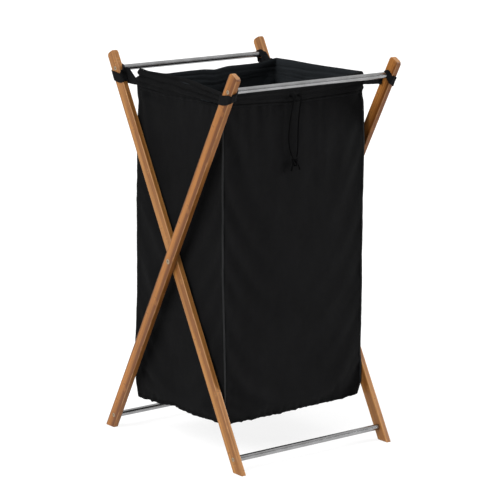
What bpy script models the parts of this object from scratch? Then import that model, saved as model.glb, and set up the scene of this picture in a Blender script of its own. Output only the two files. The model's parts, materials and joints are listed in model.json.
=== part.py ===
"""Folding laundry hamper: two crossed bamboo frames, four steel tubes and one open fabric bag.

The frames cross like scissors on two pivot bolts.  The outer frame leans forward at the top,
the inner frame leans back, and the bag hangs by a strap at each top corner of the frames.

World frame: metres, +X to the right along the tubes, +Y to the rear, +Z up.
The origin is on the floor under the middle of the hamper.
"""
import math

import bmesh
import bpy
from mathutils import Vector

# ---------------------------------------------------------------- driving dimensions
OVERALL_WIDTH = 0.3314      # across the outer frame's legs
PIVOT_HEIGHT = 0.316        # pivot bolts above the floor
LEAN = math.radians(28.62)  # each frame's lean from upright when open
TUBE_REACH = 0.335          # pivot to each tube, along a leg
LEG_TOP_REACH = 0.365       # pivot to a leg's top end, along the leg
LEG_WIDTH = 0.0207
LEG_THICKNESS = 0.009
LEG_TOP_ROUNDING = 0.006
LEG_EDGE_SOFTENING = 0.0011
FRAME_GAP = 0.0015          # between the outer and the inner frame's legs

TUBE_DIAMETER = 0.010
TUBE_WALL = 0.001
PLUG_LENGTH = 0.014

BAG_WIDTH = 0.286           # outside of the cloth
BAG_DEPTH = 0.236
BAG_FLOOR = 0.064           # underside of the bag above the floor
RIM_HEIGHT = 0.604          # top of the hem above the floor
HEM_HEIGHT = 0.026
CLOTH = 0.001               # one layer of cloth
TUNNEL = 0.0032             # inside width of the drawstring tunnel

CORD_DIAMETER = 0.0026
CORD_HEIGHT = 0.585         # drawstring above the floor, in its tunnel
EXIT_LEFT = -0.008          # where the drawstring's two ends leave the front hem
EXIT_RIGHT = 0.007
EXIT_RADIUS = 0.0024
TUNNEL_BEND = 0.0016        # bend of the drawstring at the hem's corners
KNOT_NECK_RADIUS = 0.0026   # both short ends together, under the knot
KNOT_END_RADIUS = 0.0030

STRAP_HEIGHT = 0.015
STRAP_THICKNESS = 0.0012
STRAP_CENTRE = 0.3195       # middle of the loop, along the leg from the pivot
STRAP_SLACK = 0.0004        # between the loop and the leg
TAB_LAP = 0.006             # the tab's lap along the loop's inner face, in from the leg's edge
TAB_WIDTH_AT_LOOP = 0.017
TAB_WIDTH_AT_BAG = 0.008
TAB_OUTSET_AT_BAG = 0.0008  # middle of the tab outside the bag's side
TAB_CLEARANCE = 0.0012      # between the tab's end and the hem
TAB_HEIGHT_AT_BAG = 0.588   # middle of the tab where it meets the hem's corner

GAP = 0.0003                # between pieces that touch
OVERCUT = 0.001             # a cutter's reach beyond the surface it opens
ROUND = 24                  # sides of a round piece
CORD_STEP = 2.2 * CORD_DIAMETER     # between a hanging cord's points
TUNNEL_STEP = 0.021         # between the points of the cord in the hem
CURVE_STEPS = 24            # fine steps between two points of a route

# ---------------------------------------------------------------- derived sizes
OUTER_FACE = OVERALL_WIDTH / 2
INNER_FRAME_FACE = OUTER_FACE - LEG_THICKNESS - FRAME_GAP
TUBE_RADIUS = TUBE_DIAMETER / 2
TUBE_BORE = TUBE_RADIUS - TUBE_WALL
HEM_THICKNESS = 2 * CLOTH + TUNNEL
HEM_PROUD = GAP
MITRE_GAP = 0.75 * GAP

FRAMES = {
    "outer": {"face": OUTER_FACE, "turn": LEAN, "top": "front", "foot": "rear"},
    "inner": {"face": INNER_FRAME_FACE, "turn": -LEAN, "top": "rear", "foot": "front"},
}
SIDES = {"left": -1, "right": 1}


# ---------------------------------------------------------------- materials
def make_material(name, colour, roughness, metallic=0.0):
    material = bpy.data.materials.new(name)
    material.use_nodes = True
    shader = material.node_tree.nodes["Principled BSDF"]
    shader.inputs["Base Color"].default_value = (*colour, 1.0)
    shader.inputs["Roughness"].default_value = roughness
    shader.inputs["Metallic"].default_value = metallic
    material.diffuse_color = (*colour, 1.0)
    return material


# ---------------------------------------------------------------- object helpers
def clear_scene():
    for old in list(bpy.data.objects):
        bpy.data.objects.remove(old, do_unlink=True)


def add_empty(name, height, turn=0.0):
    empty = bpy.data.objects.new(name, None)
    empty.location = (0.0, 0.0, height)
    empty.rotation_euler = (turn, 0.0, 0.0)
    bpy.context.scene.collection.objects.link(empty)
    return empty


def mesh_from(name, bm):
    bmesh.ops.recalc_face_normals(bm, faces=bm.faces)
    mesh = bpy.data.meshes.new(name)
    bm.to_mesh(mesh)
    bm.free()
    mesh.shade_smooth()
    mesh.set_sharp_from_angle(angle=math.radians(35))
    return mesh


def place(name, mesh, material, parent, location=(0.0, 0.0, 0.0), turn_z=0.0):
    piece = bpy.data.objects.new(name, mesh)
    if material is not None and not mesh.materials:
        mesh.materials.append(material)
    piece.parent = parent
    piece.location = location
    piece.rotation_euler = (0.0, 0.0, turn_z)
    bpy.context.scene.collection.objects.link(piece)
    return piece


def hide_cutter(cutter):
    cutter.hide_render = True
    cutter.display_type = "WIRE"


def cut(piece, cutter):
    difference = piece.modifiers.new("holes", "BOOLEAN")
    difference.operation = "DIFFERENCE"
    difference.solver = "EXACT"
    difference.object = cutter


# ---------------------------------------------------------------- shape helpers
def polygon_radius(angle, apothem, sides):
    """Distance from the centre to a regular polygon's edge in one direction."""
    step = 2 * math.pi / sides
    return apothem / math.cos((angle % step) - step / 2)


def add_ring(bm, x, radius, height, sides):
    ring = []
    for i in range(ROUND):
        angle = 2 * math.pi * i / ROUND
        r = polygon_radius(angle, radius, sides) if sides else radius
        ring.append(bm.verts.new((x, r * math.cos(angle), height + r * math.sin(angle))))
    return ring


def join_rings(bm, first, second):
    count = len(first)
    for i in range(count):
        j = (i + 1) % count
        bm.faces.new((first[i], first[j], second[j], second[i]))


def add_turned(bm, sections, height=0.0, hollow=False):
    """Solid turned about the X axis.  A section is (x, radius) or (x, radius, polygon sides)."""
    rings = []
    for section in sections:
        sides = section[2] if len(section) > 2 else 0
        rings.append(add_ring(bm, section[0], section[1], height, sides))
    for first, second in zip(rings, rings[1:]):
        join_rings(bm, first, second)
    if hollow:
        join_rings(bm, rings[-1], rings[0])
    else:
        bm.faces.new(rings[0])
        bm.faces.new(rings[-1])


def turned_mesh(name, sections, hollow=False):
    bm = bmesh.new()
    add_turned(bm, sections, hollow=hollow)
    return mesh_from(name, bm)


def corner_arc(centre, radius, start, steps=8):
    """Quarter circle as (x, y) points, turning anticlockwise from the start angle."""
    points = []
    for i in range(steps + 1):
        angle = start + math.pi / 2 * i / steps
        points.append((centre[0] + radius * math.cos(angle), centre[1] + radius * math.sin(angle)))
    return points


def rounded_rectangle(half_x, half_y, radius):
    points = []
    quarter = math.pi / 2
    for i, (sx, sy) in enumerate(((1, 1), (-1, 1), (-1, -1), (1, -1))):
        centre = (sx * (half_x - radius), sy * (half_y - radius))
        points += corner_arc(centre, radius, i * quarter, steps=4)
    return points


# ---------------------------------------------------------------- legs
def leg_outline(turn):
    """Side view of a leg as (across, along) points, with the foot cut level with the floor."""
    half = LEG_WIDTH / 2
    arc_middle = LEG_TOP_REACH - LEG_TOP_ROUNDING
    points = []
    for across in (-half, half):
        points.append((across, (-PIVOT_HEIGHT - across * math.sin(turn)) / math.cos(turn)))
    points += corner_arc((half - LEG_TOP_ROUNDING, arc_middle), LEG_TOP_ROUNDING, 0.0)
    points += corner_arc((LEG_TOP_ROUNDING - half, arc_middle), LEG_TOP_ROUNDING, math.pi / 2)
    return points


def make_leg(name, frame, side, hole_mesh, material, parent):
    face_x = side * frame["face"]
    inward = Vector((-side * LEG_THICKNESS, 0.0, 0.0))
    bm = bmesh.new()
    outline = [bm.verts.new((face_x, y, z)) for y, z in leg_outline(frame["turn"])]
    face = bm.faces.new(outline)
    extruded = bmesh.ops.extrude_face_region(bm, geom=[face])
    moved = [item for item in extruded["geom"] if isinstance(item, bmesh.types.BMVert)]
    bmesh.ops.translate(bm, verts=moved, vec=inward)
    leg = place(name, mesh_from(name, bm), material, parent)

    soften = leg.modifiers.new("soft_edges", "BEVEL")
    soften.width = LEG_EDGE_SOFTENING
    soften.segments = 3
    soften.limit_method = "ANGLE"
    soften.angle_limit = math.radians(40)

    holes = place(name + "_holes", hole_mesh, None, parent, (face_x, 0.0, 0.0), turn_towards_middle(side))
    hide_cutter(holes)
    cut(leg, holes)
    return leg


def turn_towards_middle(side):
    """Rotation that points a piece's own +X from the outside of the hamper to its middle."""
    return 0.0 if side < 0 else math.pi


# ---------------------------------------------------------------- screws, plugs and pivots
SCREW = {"head": 0.0034, "head_depth": 0.0021, "shank": 0.0020, "length": 0.022, "socket": 0.0012}
BOLT = {"head": 0.0042, "head_depth": 0.0024, "shank": 0.0025, "socket": 0.0016}
HEAD_SINK = 0.0002
SOCKET_DEPTH = 0.0014
FLANGE_RADIUS = 0.0055
FLANGE_THICKNESS = 0.0011
SLEEVE_RADIUS = 0.0035
SLEEVE_BORE = BOLT["shank"] + GAP
WASHER_RADIUS = 0.008

INNER_LEG_START = LEG_THICKNESS + FRAME_GAP
INNER_LEG_END = INNER_LEG_START + LEG_THICKNESS
BOLT["length"] = INNER_LEG_END - 0.0021


def countersunk_sections(size):
    """Countersunk screw with a hexagon socket, from the socket's floor to the tip."""
    socket_floor = HEAD_SINK + SOCKET_DEPTH
    return [
        (socket_floor, size["socket"], 6),
        (HEAD_SINK, size["socket"], 6),
        (HEAD_SINK, size["head"]),
        (HEAD_SINK + size["head_depth"], size["shank"]),
        (size["length"] - size["shank"] / 2, size["shank"]),
        (size["length"], size["shank"] / 2),
    ]


def countersunk_hole(size):
    """Cutter for the hole of a countersunk screw, right through one leg."""
    clearance = 1.3 * GAP
    return [
        (-0.002, size["head"] + clearance),
        (HEAD_SINK, size["head"] + clearance),
        (HEAD_SINK + size["head_depth"], size["shank"] + clearance),
        (LEG_THICKNESS + 0.002, size["shank"] + clearance),
    ]


def sleeve_hole():
    """Cutter for the pivot's sleeve and for its flange, sunk in the inner leg's inner face."""
    flange_floor = LEG_THICKNESS - FLANGE_THICKNESS - 1.5 * GAP
    return [
        (-0.002, SLEEVE_RADIUS + GAP),
        (flange_floor, SLEEVE_RADIUS + GAP),
        (flange_floor, FLANGE_RADIUS + 1.3 * GAP),
        (LEG_THICKNESS + 0.002, FLANGE_RADIUS + 1.3 * GAP),
    ]


def hole_mesh(name, pivot_sections):
    bm = bmesh.new()
    add_turned(bm, countersunk_hole(SCREW), height=TUBE_REACH)
    add_turned(bm, pivot_sections)
    add_turned(bm, countersunk_hole(SCREW), height=-TUBE_REACH)
    return mesh_from(name, bm)


def sleeve_sections():
    """Barrel nut, measured inwards from the outer leg's outer face."""
    flange_end = INNER_LEG_END - GAP / 3
    flange_start = flange_end - FLANGE_THICKNESS
    bore_floor = flange_start - GAP
    sleeve_start = INNER_LEG_START + 0.0005
    return [
        (bore_floor, SLEEVE_BORE),
        (sleeve_start, SLEEVE_BORE),
        (sleeve_start, SLEEVE_RADIUS),
        (flange_start, SLEEVE_RADIUS),
        (flange_start, FLANGE_RADIUS),
        (flange_end, FLANGE_RADIUS),
    ]


def tube_sections(length):
    half = length / 2
    return [(-half, TUBE_RADIUS), (half, TUBE_RADIUS), (half, TUBE_BORE), (-half, TUBE_BORE)]


def plug_sections():
    outside = TUBE_BORE - GAP
    bore = SCREW["shank"] + GAP
    return [(0.0, outside), (PLUG_LENGTH, outside), (PLUG_LENGTH, bore), (0.0, bore)]


def washer_sections():
    bore = BOLT["shank"] + 1.3 * GAP
    start = LEG_THICKNESS + GAP
    end = start + FRAME_GAP - 2 * GAP
    return [(start, WASHER_RADIUS), (end, WASHER_RADIUS), (end, bore), (start, bore)]


def make_frames(materials):
    """Legs, tubes, plugs and screws of both frames, each under its empty on the pivot axis."""
    screw = turned_mesh("tube_screw", countersunk_sections(SCREW))
    plug = turned_mesh("tube_plug", plug_sections(), hollow=True)
    holes = {
        "outer": hole_mesh("outer_leg_holes", countersunk_hole(BOLT)),
        "inner": hole_mesh("inner_leg_holes", sleeve_hole()),
    }
    parents = {}
    for frame_name, frame in FRAMES.items():
        parent = add_empty(frame_name + "_frame_pivot", PIVOT_HEIGHT, frame["turn"])
        parents[frame_name] = parent
        inner_face = frame["face"] - LEG_THICKNESS
        tube = turned_mesh(frame_name + "_tube", tube_sections(2 * (inner_face - GAP)), hollow=True)
        for side_name, side in SIDES.items():
            leg_name = frame_name + "_" + side_name + "_leg"
            make_leg(leg_name, frame, side, holes[frame_name], materials["bamboo"], parent)
        for level, end, reach in (("top", "top", TUBE_REACH), ("bottom", "foot", -TUBE_REACH)):
            tube_name = level + "_" + frame[end]
            place(tube_name + "_tube", tube, materials["tube_steel"], parent, (0.0, 0.0, reach))
            for side_name, side in SIDES.items():
                turn = turn_towards_middle(side)
                plug_at = (side * (inner_face - 2 * GAP), 0.0, reach)
                screw_at = (side * frame["face"], 0.0, reach)
                ending = tube_name + "_" + side_name
                place("tube_plug_" + ending, plug, materials["zinc"], parent, plug_at, turn)
                place("tube_screw_" + ending, screw, materials["screw_steel"], parent, screw_at, turn)
    return parents


def make_pivots(materials, outer_parent, washer_parent):
    bolt = turned_mesh("pivot_bolt", countersunk_sections(BOLT))
    sleeve = turned_mesh("pivot_sleeve", sleeve_sections())
    washer = turned_mesh("pivot_washer", washer_sections(), hollow=True)
    for side_name, side in SIDES.items():
        at = (side * OUTER_FACE, 0.0, 0.0)
        turn = turn_towards_middle(side)
        place("pivot_bolt_" + side_name, bolt, materials["screw_steel"], outer_parent, at, turn)
        place("pivot_sleeve_" + side_name, sleeve, materials["screw_steel"], outer_parent, at, turn)
        place("pivot_washer_" + side_name, washer, materials["nylon"], washer_parent, at, turn)


# ---------------------------------------------------------------- bag
def add_box_shell(bm, loops):
    """Closed solid through loops of equal length, capped at the first and the last one."""
    rings = [[bm.verts.new(point) for point in loop] for loop in loops]
    for first, second in zip(rings, rings[1:]):
        join_rings(bm, first, second)
    bm.faces.new(rings[0])
    bm.faces.new(rings[-1])


def panel_mesh(name, length, distance, low, high):
    """Upright cloth panel facing -Y, mitred at both ends to meet its neighbours."""
    bm = bmesh.new()
    loops = []
    for end in (-1, 1):
        outside = end * (length / 2 - MITRE_GAP)
        inside = end * (length / 2 - MITRE_GAP - CLOTH)
        loops.append([
            (outside, -distance, low),
            (inside, -distance + CLOTH, low),
            (inside, -distance + CLOTH, high),
            (outside, -distance, high),
        ])
    add_box_shell(bm, loops)
    return mesh_from(name, bm)


def hem_mesh(name, length, distance):
    """Folded hem facing -Y with a tunnel for the drawstring, mitred at both ends."""
    high = RIM_HEIGHT - PIVOT_HEIGHT
    low = high - HEM_HEIGHT
    tunnel_low = low + 2 * CLOTH
    tunnel_high = high - CLOTH
    distance = distance + HEM_PROUD
    length = length + 2 * HEM_PROUD
    bm = bmesh.new()
    ends = []
    for end in (-1, 1):
        loops = []
        for margin, z_low, z_high in ((0.0, low, high), (CLOTH, tunnel_low, tunnel_high)):
            deep = HEM_THICKNESS - margin
            x_out = end * (length / 2 - MITRE_GAP - margin)
            x_in = end * (length / 2 - MITRE_GAP - deep)
            corners = (
                (x_out, -distance + margin, z_low),
                (x_in, -distance + deep, z_low),
                (x_in, -distance + deep, z_high),
                (x_out, -distance + margin, z_high),
            )
            loops.append([bm.verts.new(corner) for corner in corners])
        ends.append(loops)
    (outside_a, tunnel_a), (outside_b, tunnel_b) = ends
    join_rings(bm, outside_a, outside_b)
    join_rings(bm, tunnel_a, tunnel_b)
    join_rings(bm, outside_a, tunnel_a)
    join_rings(bm, outside_b, tunnel_b)
    return mesh_from(name, bm)


def exit_cutter_mesh():
    """Two short round cutters along Y, one for each place where the drawstring comes out."""
    height = CORD_HEIGHT - PIVOT_HEIGHT
    face = -BAG_DEPTH / 2 - HEM_PROUD
    bm = bmesh.new()
    for x in (EXIT_LEFT, EXIT_RIGHT):
        loops = []
        for y in (face - OVERCUT, face + CLOTH + TUNNEL / 2):
            loop = []
            for i in range(ROUND):
                angle = 2 * math.pi * i / ROUND
                dx = EXIT_RADIUS * math.cos(angle)
                dz = EXIT_RADIUS * math.sin(angle)
                loop.append((x + dx, y, height + dz))
            loops.append(loop)
        add_box_shell(bm, loops)
    return mesh_from("drawstring_exits", bm)


def make_bag(materials, parent):
    quarter = math.pi / 2
    low = BAG_FLOOR - PIVOT_HEIGHT
    high = RIM_HEIGHT - HEM_HEIGHT - GAP - PIVOT_HEIGHT
    walls = (
        ("front", BAG_WIDTH, BAG_DEPTH / 2, 0),
        ("right", BAG_DEPTH, BAG_WIDTH / 2, 1),
        ("rear", BAG_WIDTH, BAG_DEPTH / 2, 2),
        ("left", BAG_DEPTH, BAG_WIDTH / 2, 3),
    )
    hems = {}
    for name, length, distance, turns in walls:
        panel = panel_mesh("bag_panel_" + name, length, distance, low, high)
        place("bag_panel_" + name, panel, materials["cloth"], parent, turn_z=turns * quarter)
        hem = hem_mesh("bag_hem_" + name, length, distance)
        hems[name] = place("bag_hem_" + name, hem, materials["cloth"], parent, turn_z=turns * quarter)
    exits = place("drawstring_exits", exit_cutter_mesh(), None, parent)
    hide_cutter(exits)
    cut(hems["front"], exits)

    half_x = BAG_WIDTH / 2 - CLOTH - GAP
    half_y = BAG_DEPTH / 2 - CLOTH - GAP
    bm = bmesh.new()
    corners = ((-half_x, -half_y), (half_x, -half_y), (half_x, half_y), (-half_x, half_y))
    add_box_shell(bm, [[(x, y, low) for x, y in corners], [(x, y, low + CLOTH) for x, y in corners]])
    place("bag_bottom", mesh_from("bag_bottom", bm), materials["cloth"], parent)


# ---------------------------------------------------------------- drawstring
def smooth_route(points, spacing):
    """Even points along a smooth curve through hand-chosen points."""
    route = [Vector(p) for p in points]
    route = [2 * route[0] - route[1]] + route + [2 * route[-1] - route[-2]]
    fine = []
    for a, b, c, d in zip(route, route[1:], route[2:], route[3:]):
        for i in range(CURVE_STEPS):
            t = i / CURVE_STEPS
            fine.append(
                0.5 * (2 * b + (c - a) * t + (2 * a - 5 * b + 4 * c - d) * t ** 2
                       + (3 * b - a - 3 * c + d) * t ** 3)
            )
    fine.append(route[-2])
    return even_points(fine, spacing)


def even_points(fine, spacing):
    lengths = [0.0]
    for first, second in zip(fine, fine[1:]):
        lengths.append(lengths[-1] + (second - first).length)
    count = max(2, round(lengths[-1] / spacing))
    result = []
    index = 0
    for i in range(count + 1):
        target = lengths[-1] * i / count
        while index < len(fine) - 2 and lengths[index + 1] < target:
            index += 1
        span = lengths[index + 1] - lengths[index]
        part = (target - lengths[index]) / span
        result.append(fine[index].lerp(fine[index + 1], part))
    return result


def make_cord(name, points, material, parent):
    curve = bpy.data.curves.new(name, "CURVE")
    curve.dimensions = "3D"
    curve.bevel_depth = CORD_DIAMETER / 2
    curve.bevel_resolution = 2
    curve.use_fill_caps = True
    spline = curve.splines.new("POLY")
    spline.points.add(len(points) - 1)
    for slot, point in zip(spline.points, points):
        slot.co = (*point, 1.0)
    spline.use_smooth = True
    cord = bpy.data.objects.new(name, curve)
    curve.materials.append(material)
    cord.parent = parent
    bpy.context.scene.collection.objects.link(cord)
    return cord


def tunnel_route():
    """From beside the left exit, clockwise round the tunnel, to beside the right exit."""
    half_x = BAG_WIDTH / 2 + HEM_PROUD - HEM_THICKNESS / 2
    half_y = BAG_DEPTH / 2 + HEM_PROUD - HEM_THICKNESS / 2
    clear = CORD_DIAMETER / 2 + 2 * GAP
    height = CORD_HEIGHT - PIVOT_HEIGHT
    outline = rounded_rectangle(half_x, half_y, TUNNEL_BEND)
    outline.reverse()
    front_left = next(i for i, p in enumerate(outline) if p[0] < 0 and p[1] < -half_y + 1e-6)
    outline = outline[front_left:] + outline[:front_left]
    start = (EXIT_LEFT - clear, -half_y)
    end = (EXIT_RIGHT + clear, -half_y)
    points = [Vector((x, y, height)) for x, y in [start] + outline + [end]]
    filled = [points[0]]
    for point in points[1:]:
        steps = max(1, math.ceil((point - filled[-1]).length / TUNNEL_STEP))
        before = filled[-1]
        for i in range(1, steps + 1):
            filled.append(before.lerp(point, i / steps))
    return filled


# Hanging ends of the drawstring, from the exits in the hem down to the knot, in world metres.
LEFT_END_ROUTE = (
    (-0.0080, -0.1162, 0.5850), (-0.0080, -0.1190, 0.5850), (-0.0081, -0.1222, 0.5843),
    (-0.0085, -0.1247, 0.5821), (-0.0090, -0.1258, 0.5785), (-0.0097, -0.1257, 0.5735),
    (-0.0110, -0.1249, 0.5650), (-0.0128, -0.1240, 0.5530), (-0.0146, -0.1234, 0.5400),
    (-0.0157, -0.1230, 0.5270), (-0.0157, -0.1229, 0.5150), (-0.0142, -0.1230, 0.5030),
    (-0.0110, -0.1233, 0.4930), (-0.0078, -0.1236, 0.4866),
)
RIGHT_END_ROUTE = (
    (0.0070, -0.1162, 0.5850), (0.0070, -0.1190, 0.5850), (0.0069, -0.1222, 0.5843),
    (0.0065, -0.1247, 0.5821), (0.0060, -0.1258, 0.5785), (0.0053, -0.1257, 0.5735),
    (0.0043, -0.1249, 0.5650), (0.0034, -0.1240, 0.5530), (0.0029, -0.1234, 0.5400),
    (0.0028, -0.1230, 0.5270), (0.0028, -0.1229, 0.5150), (0.0024, -0.1230, 0.5030),
    (0.0012, -0.1233, 0.4930), (-0.0004, -0.1236, 0.4870),
)
KNOT_CENTRE = (-0.0040, -0.1238, 0.4795)
KNOT_RADIUS = 0.0058
KNOT_TAIL = 0.0125


def knot_mesh():
    """Round knot with the two short ends below it, turned about X and stood upright later."""
    sections = []
    steps = 8
    for i in range(1, steps):
        angle = math.pi * i / (steps + 1)
        sections.append((-KNOT_RADIUS * math.cos(angle), KNOT_RADIUS * math.sin(angle)))
    sections.append((KNOT_RADIUS + KNOT_TAIL / 3, KNOT_NECK_RADIUS))
    sections.append((KNOT_RADIUS + KNOT_TAIL, KNOT_END_RADIUS))
    return turned_mesh("drawstring_knot", sections)


def make_drawstring(materials, parent):
    lift = Vector((0.0, 0.0, PIVOT_HEIGHT))
    make_cord("drawstring_in_hem", tunnel_route(), materials["cord"], parent)
    for name, route in (("left", LEFT_END_ROUTE), ("right", RIGHT_END_ROUTE)):
        points = [point - lift for point in smooth_route(route, CORD_STEP)]
        make_cord("drawstring_end_" + name, points, materials["cord"], parent)
    knot = place("drawstring_knot", knot_mesh(), materials["cord"], parent, Vector(KNOT_CENTRE) - lift)
    knot.rotation_euler = (0.0, math.pi / 2, 0.0)


# ---------------------------------------------------------------- corner straps
def strap_loop_mesh(name, centre_x):
    """Flat loop of strap around one leg, just under its tube."""
    inside_x = LEG_THICKNESS / 2 + STRAP_SLACK
    inside_y = LEG_WIDTH / 2 + STRAP_SLACK
    inside = rounded_rectangle(inside_x, inside_y, LEG_EDGE_SOFTENING)
    outside = rounded_rectangle(
        inside_x + STRAP_THICKNESS, inside_y + STRAP_THICKNESS, LEG_EDGE_SOFTENING + STRAP_THICKNESS)
    low = STRAP_CENTRE - STRAP_HEIGHT / 2
    high = STRAP_CENTRE + STRAP_HEIGHT / 2
    bm = bmesh.new()
    rings = []
    for outline, height in ((inside, low), (outside, low), (outside, high), (inside, high)):
        rings.append([bm.verts.new((centre_x + x, y, height)) for x, y in outline])
    for first, second in zip(rings, rings[1:] + rings[:1]):
        join_rings(bm, first, second)
    return mesh_from(name, bm)


def tab_mesh(name, side, frame):
    """Doubled strap from the loop's inner face, past the leg's edge, to the hem's corner."""
    turn = frame["turn"]
    lean_way = math.copysign(1.0, turn)
    cosine, sine = math.cos(turn), math.sin(turn)
    beside_loop = side * (frame["face"] - LEG_THICKNESS - STRAP_SLACK - 2 * STRAP_THICKNESS - GAP)

    def beside_leg(near):
        return Vector((
            beside_loop,
            lean_way * near * cosine - STRAP_CENTRE * sine,
            lean_way * near * sine + STRAP_CENTRE * cosine,
        ))

    along_leg = Vector((0.0, -sine, cosine))
    upright = Vector((0.0, 0.0, 1.0))
    bag_corner = Vector((
        side * (BAG_WIDTH / 2 + TAB_OUTSET_AT_BAG),
        -lean_way * (BAG_DEPTH / 2 + TAB_CLEARANCE + GAP),
        TAB_HEIGHT_AT_BAG - PIVOT_HEIGHT,
    ))
    loop_edge = LEG_WIDTH / 2 + STRAP_SLACK + STRAP_THICKNESS
    stations = (
        (beside_leg(LEG_WIDTH / 2 - TAB_LAP), along_leg, TAB_WIDTH_AT_LOOP),
        (beside_leg(loop_edge), along_leg.lerp(upright, 0.3).normalized(), TAB_WIDTH_AT_LOOP),
        (beside_leg(loop_edge).lerp(bag_corner, 0.5), along_leg.lerp(upright, 0.7).normalized(),
         (TAB_WIDTH_AT_LOOP + TAB_WIDTH_AT_BAG) / 2),
        (bag_corner, upright, TAB_WIDTH_AT_BAG),
    )
    loops = []
    for i, (centre, wide, width) in enumerate(stations):
        before = stations[max(i - 1, 0)][0]
        after = stations[min(i + 1, len(stations) - 1)][0]
        thick = (after - before).cross(upright).normalized() * STRAP_THICKNESS
        up = wide * (width / 2)
        loops.append([centre - thick - up, centre + thick - up, centre + thick + up, centre - thick + up])
    bm = bmesh.new()
    add_box_shell(bm, loops)
    return mesh_from(name, bm)


def make_straps(materials, frame_parents, bag_parent):
    for frame_name, frame in FRAMES.items():
        for side_name, side in SIDES.items():
            corner = frame["top"] + "_" + side_name
            centre_x = side * (frame["face"] - LEG_THICKNESS / 2)
            loop = strap_loop_mesh("strap_loop_" + corner, centre_x)
            place("strap_loop_" + corner, loop, materials["webbing"], frame_parents[frame_name])
            tab = tab_mesh("strap_tab_" + corner, side, frame)
            place("strap_tab_" + corner, tab, materials["webbing"], bag_parent)


# ---------------------------------------------------------------- the whole hamper
def main():
    clear_scene()
    materials = {
        "bamboo": make_material("bamboo", (0.50, 0.25, 0.085), 0.45),
        "tube_steel": make_material("tube_steel", (0.58, 0.58, 0.57), 0.30, 1.0),
        "screw_steel": make_material("screw_steel", (0.62, 0.61, 0.60), 0.35, 1.0),
        "zinc": make_material("zinc", (0.55, 0.56, 0.58), 0.45, 1.0),
        "nylon": make_material("nylon", (0.75, 0.74, 0.70), 0.55),
        "cloth": make_material("cloth", (0.008, 0.008, 0.009), 0.90),
        "cord": make_material("cord", (0.006, 0.006, 0.006), 0.85),
        "webbing": make_material("webbing", (0.007, 0.007, 0.008), 0.88),
    }
    frame_parents = make_frames(materials)
    washer_parent = add_empty("washer_pivot", PIVOT_HEIGHT)
    bag_parent = add_empty("bag_middle", PIVOT_HEIGHT)
    make_pivots(materials, frame_parents["outer"], washer_parent)
    make_bag(materials, bag_parent)
    make_drawstring(materials, bag_parent)
    make_straps(materials, frame_parents, bag_parent)


main()
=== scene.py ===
"""Looks of the folding laundry hamper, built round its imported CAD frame.

The bamboo legs, steel tubes and fasteners are the CAD nodes with finished materials.  The bag,
its hem, seams, straps and drawstring are made here as cloth and cord.

World frame: metres, +X to the right along the tubes, +Y to the rear, +Z up, origin on the floor.
"""

import json
import math

import bpy
import numpy as np
from mathutils import Matrix, Vector, noise


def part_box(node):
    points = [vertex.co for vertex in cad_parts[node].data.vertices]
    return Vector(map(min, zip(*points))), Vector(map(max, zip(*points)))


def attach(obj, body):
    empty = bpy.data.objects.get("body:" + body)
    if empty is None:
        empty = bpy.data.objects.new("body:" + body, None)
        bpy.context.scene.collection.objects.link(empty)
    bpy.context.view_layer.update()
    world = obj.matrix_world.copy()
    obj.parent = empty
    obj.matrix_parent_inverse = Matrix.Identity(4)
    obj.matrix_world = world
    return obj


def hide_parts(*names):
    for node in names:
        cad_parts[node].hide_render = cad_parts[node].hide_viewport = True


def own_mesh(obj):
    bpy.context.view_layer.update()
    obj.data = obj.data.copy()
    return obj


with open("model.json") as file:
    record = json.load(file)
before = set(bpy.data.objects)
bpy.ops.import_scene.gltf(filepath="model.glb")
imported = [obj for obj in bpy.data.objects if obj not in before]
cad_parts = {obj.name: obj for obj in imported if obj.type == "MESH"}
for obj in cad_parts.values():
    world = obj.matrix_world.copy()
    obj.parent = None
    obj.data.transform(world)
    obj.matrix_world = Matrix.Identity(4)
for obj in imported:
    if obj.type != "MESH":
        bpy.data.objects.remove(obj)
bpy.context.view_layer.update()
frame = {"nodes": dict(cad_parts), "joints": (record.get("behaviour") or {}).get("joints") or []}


# ---------------- places read from the frame
def middle(node):
    low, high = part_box(node)
    return (low + high) / 2


def joint(name):
    return next(j for j in frame["joints"] if j["name"] == name)


PIVOT = Vector(joint("frame_fold")["pos_m"])
TOP_TUBE = middle("top_front_tube") - PIVOT
TUBE_REACH = math.hypot(TOP_TUBE.y, TOP_TUBE.z)
LEAN = math.atan2(-TOP_TUBE.y, TOP_TUBE.z)
TUBE_RADIUS = (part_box("top_front_tube")[1].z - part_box("top_front_tube")[0].z) / 2
LEG_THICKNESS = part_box("outer_right_leg")[1].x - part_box("outer_right_leg")[0].x
LEG_MIDDLE_X = {"front": middle("outer_right_leg").x, "rear": middle("inner_right_leg").x}
LEG_WIDTH = 0.0207

BAG_HALF_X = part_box("bag_panel_right")[1].x
BAG_HALF_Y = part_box("bag_panel_rear")[1].y
STRAP_REACH = 0.3195        # from the pivot up the leg to the straps
SIDES = {"left": -1, "right": 1}

# ---------------- camera
CAMERA_PLACE = Vector((-2.275, -2.975, 1.138))
CAMERA_YAW = 0.653
CAMERA_PITCH = -0.2167
CAMERA_ROLL = 0.0023
SENSOR_MM = 36.0
LENS_MM = 167.34


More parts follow.
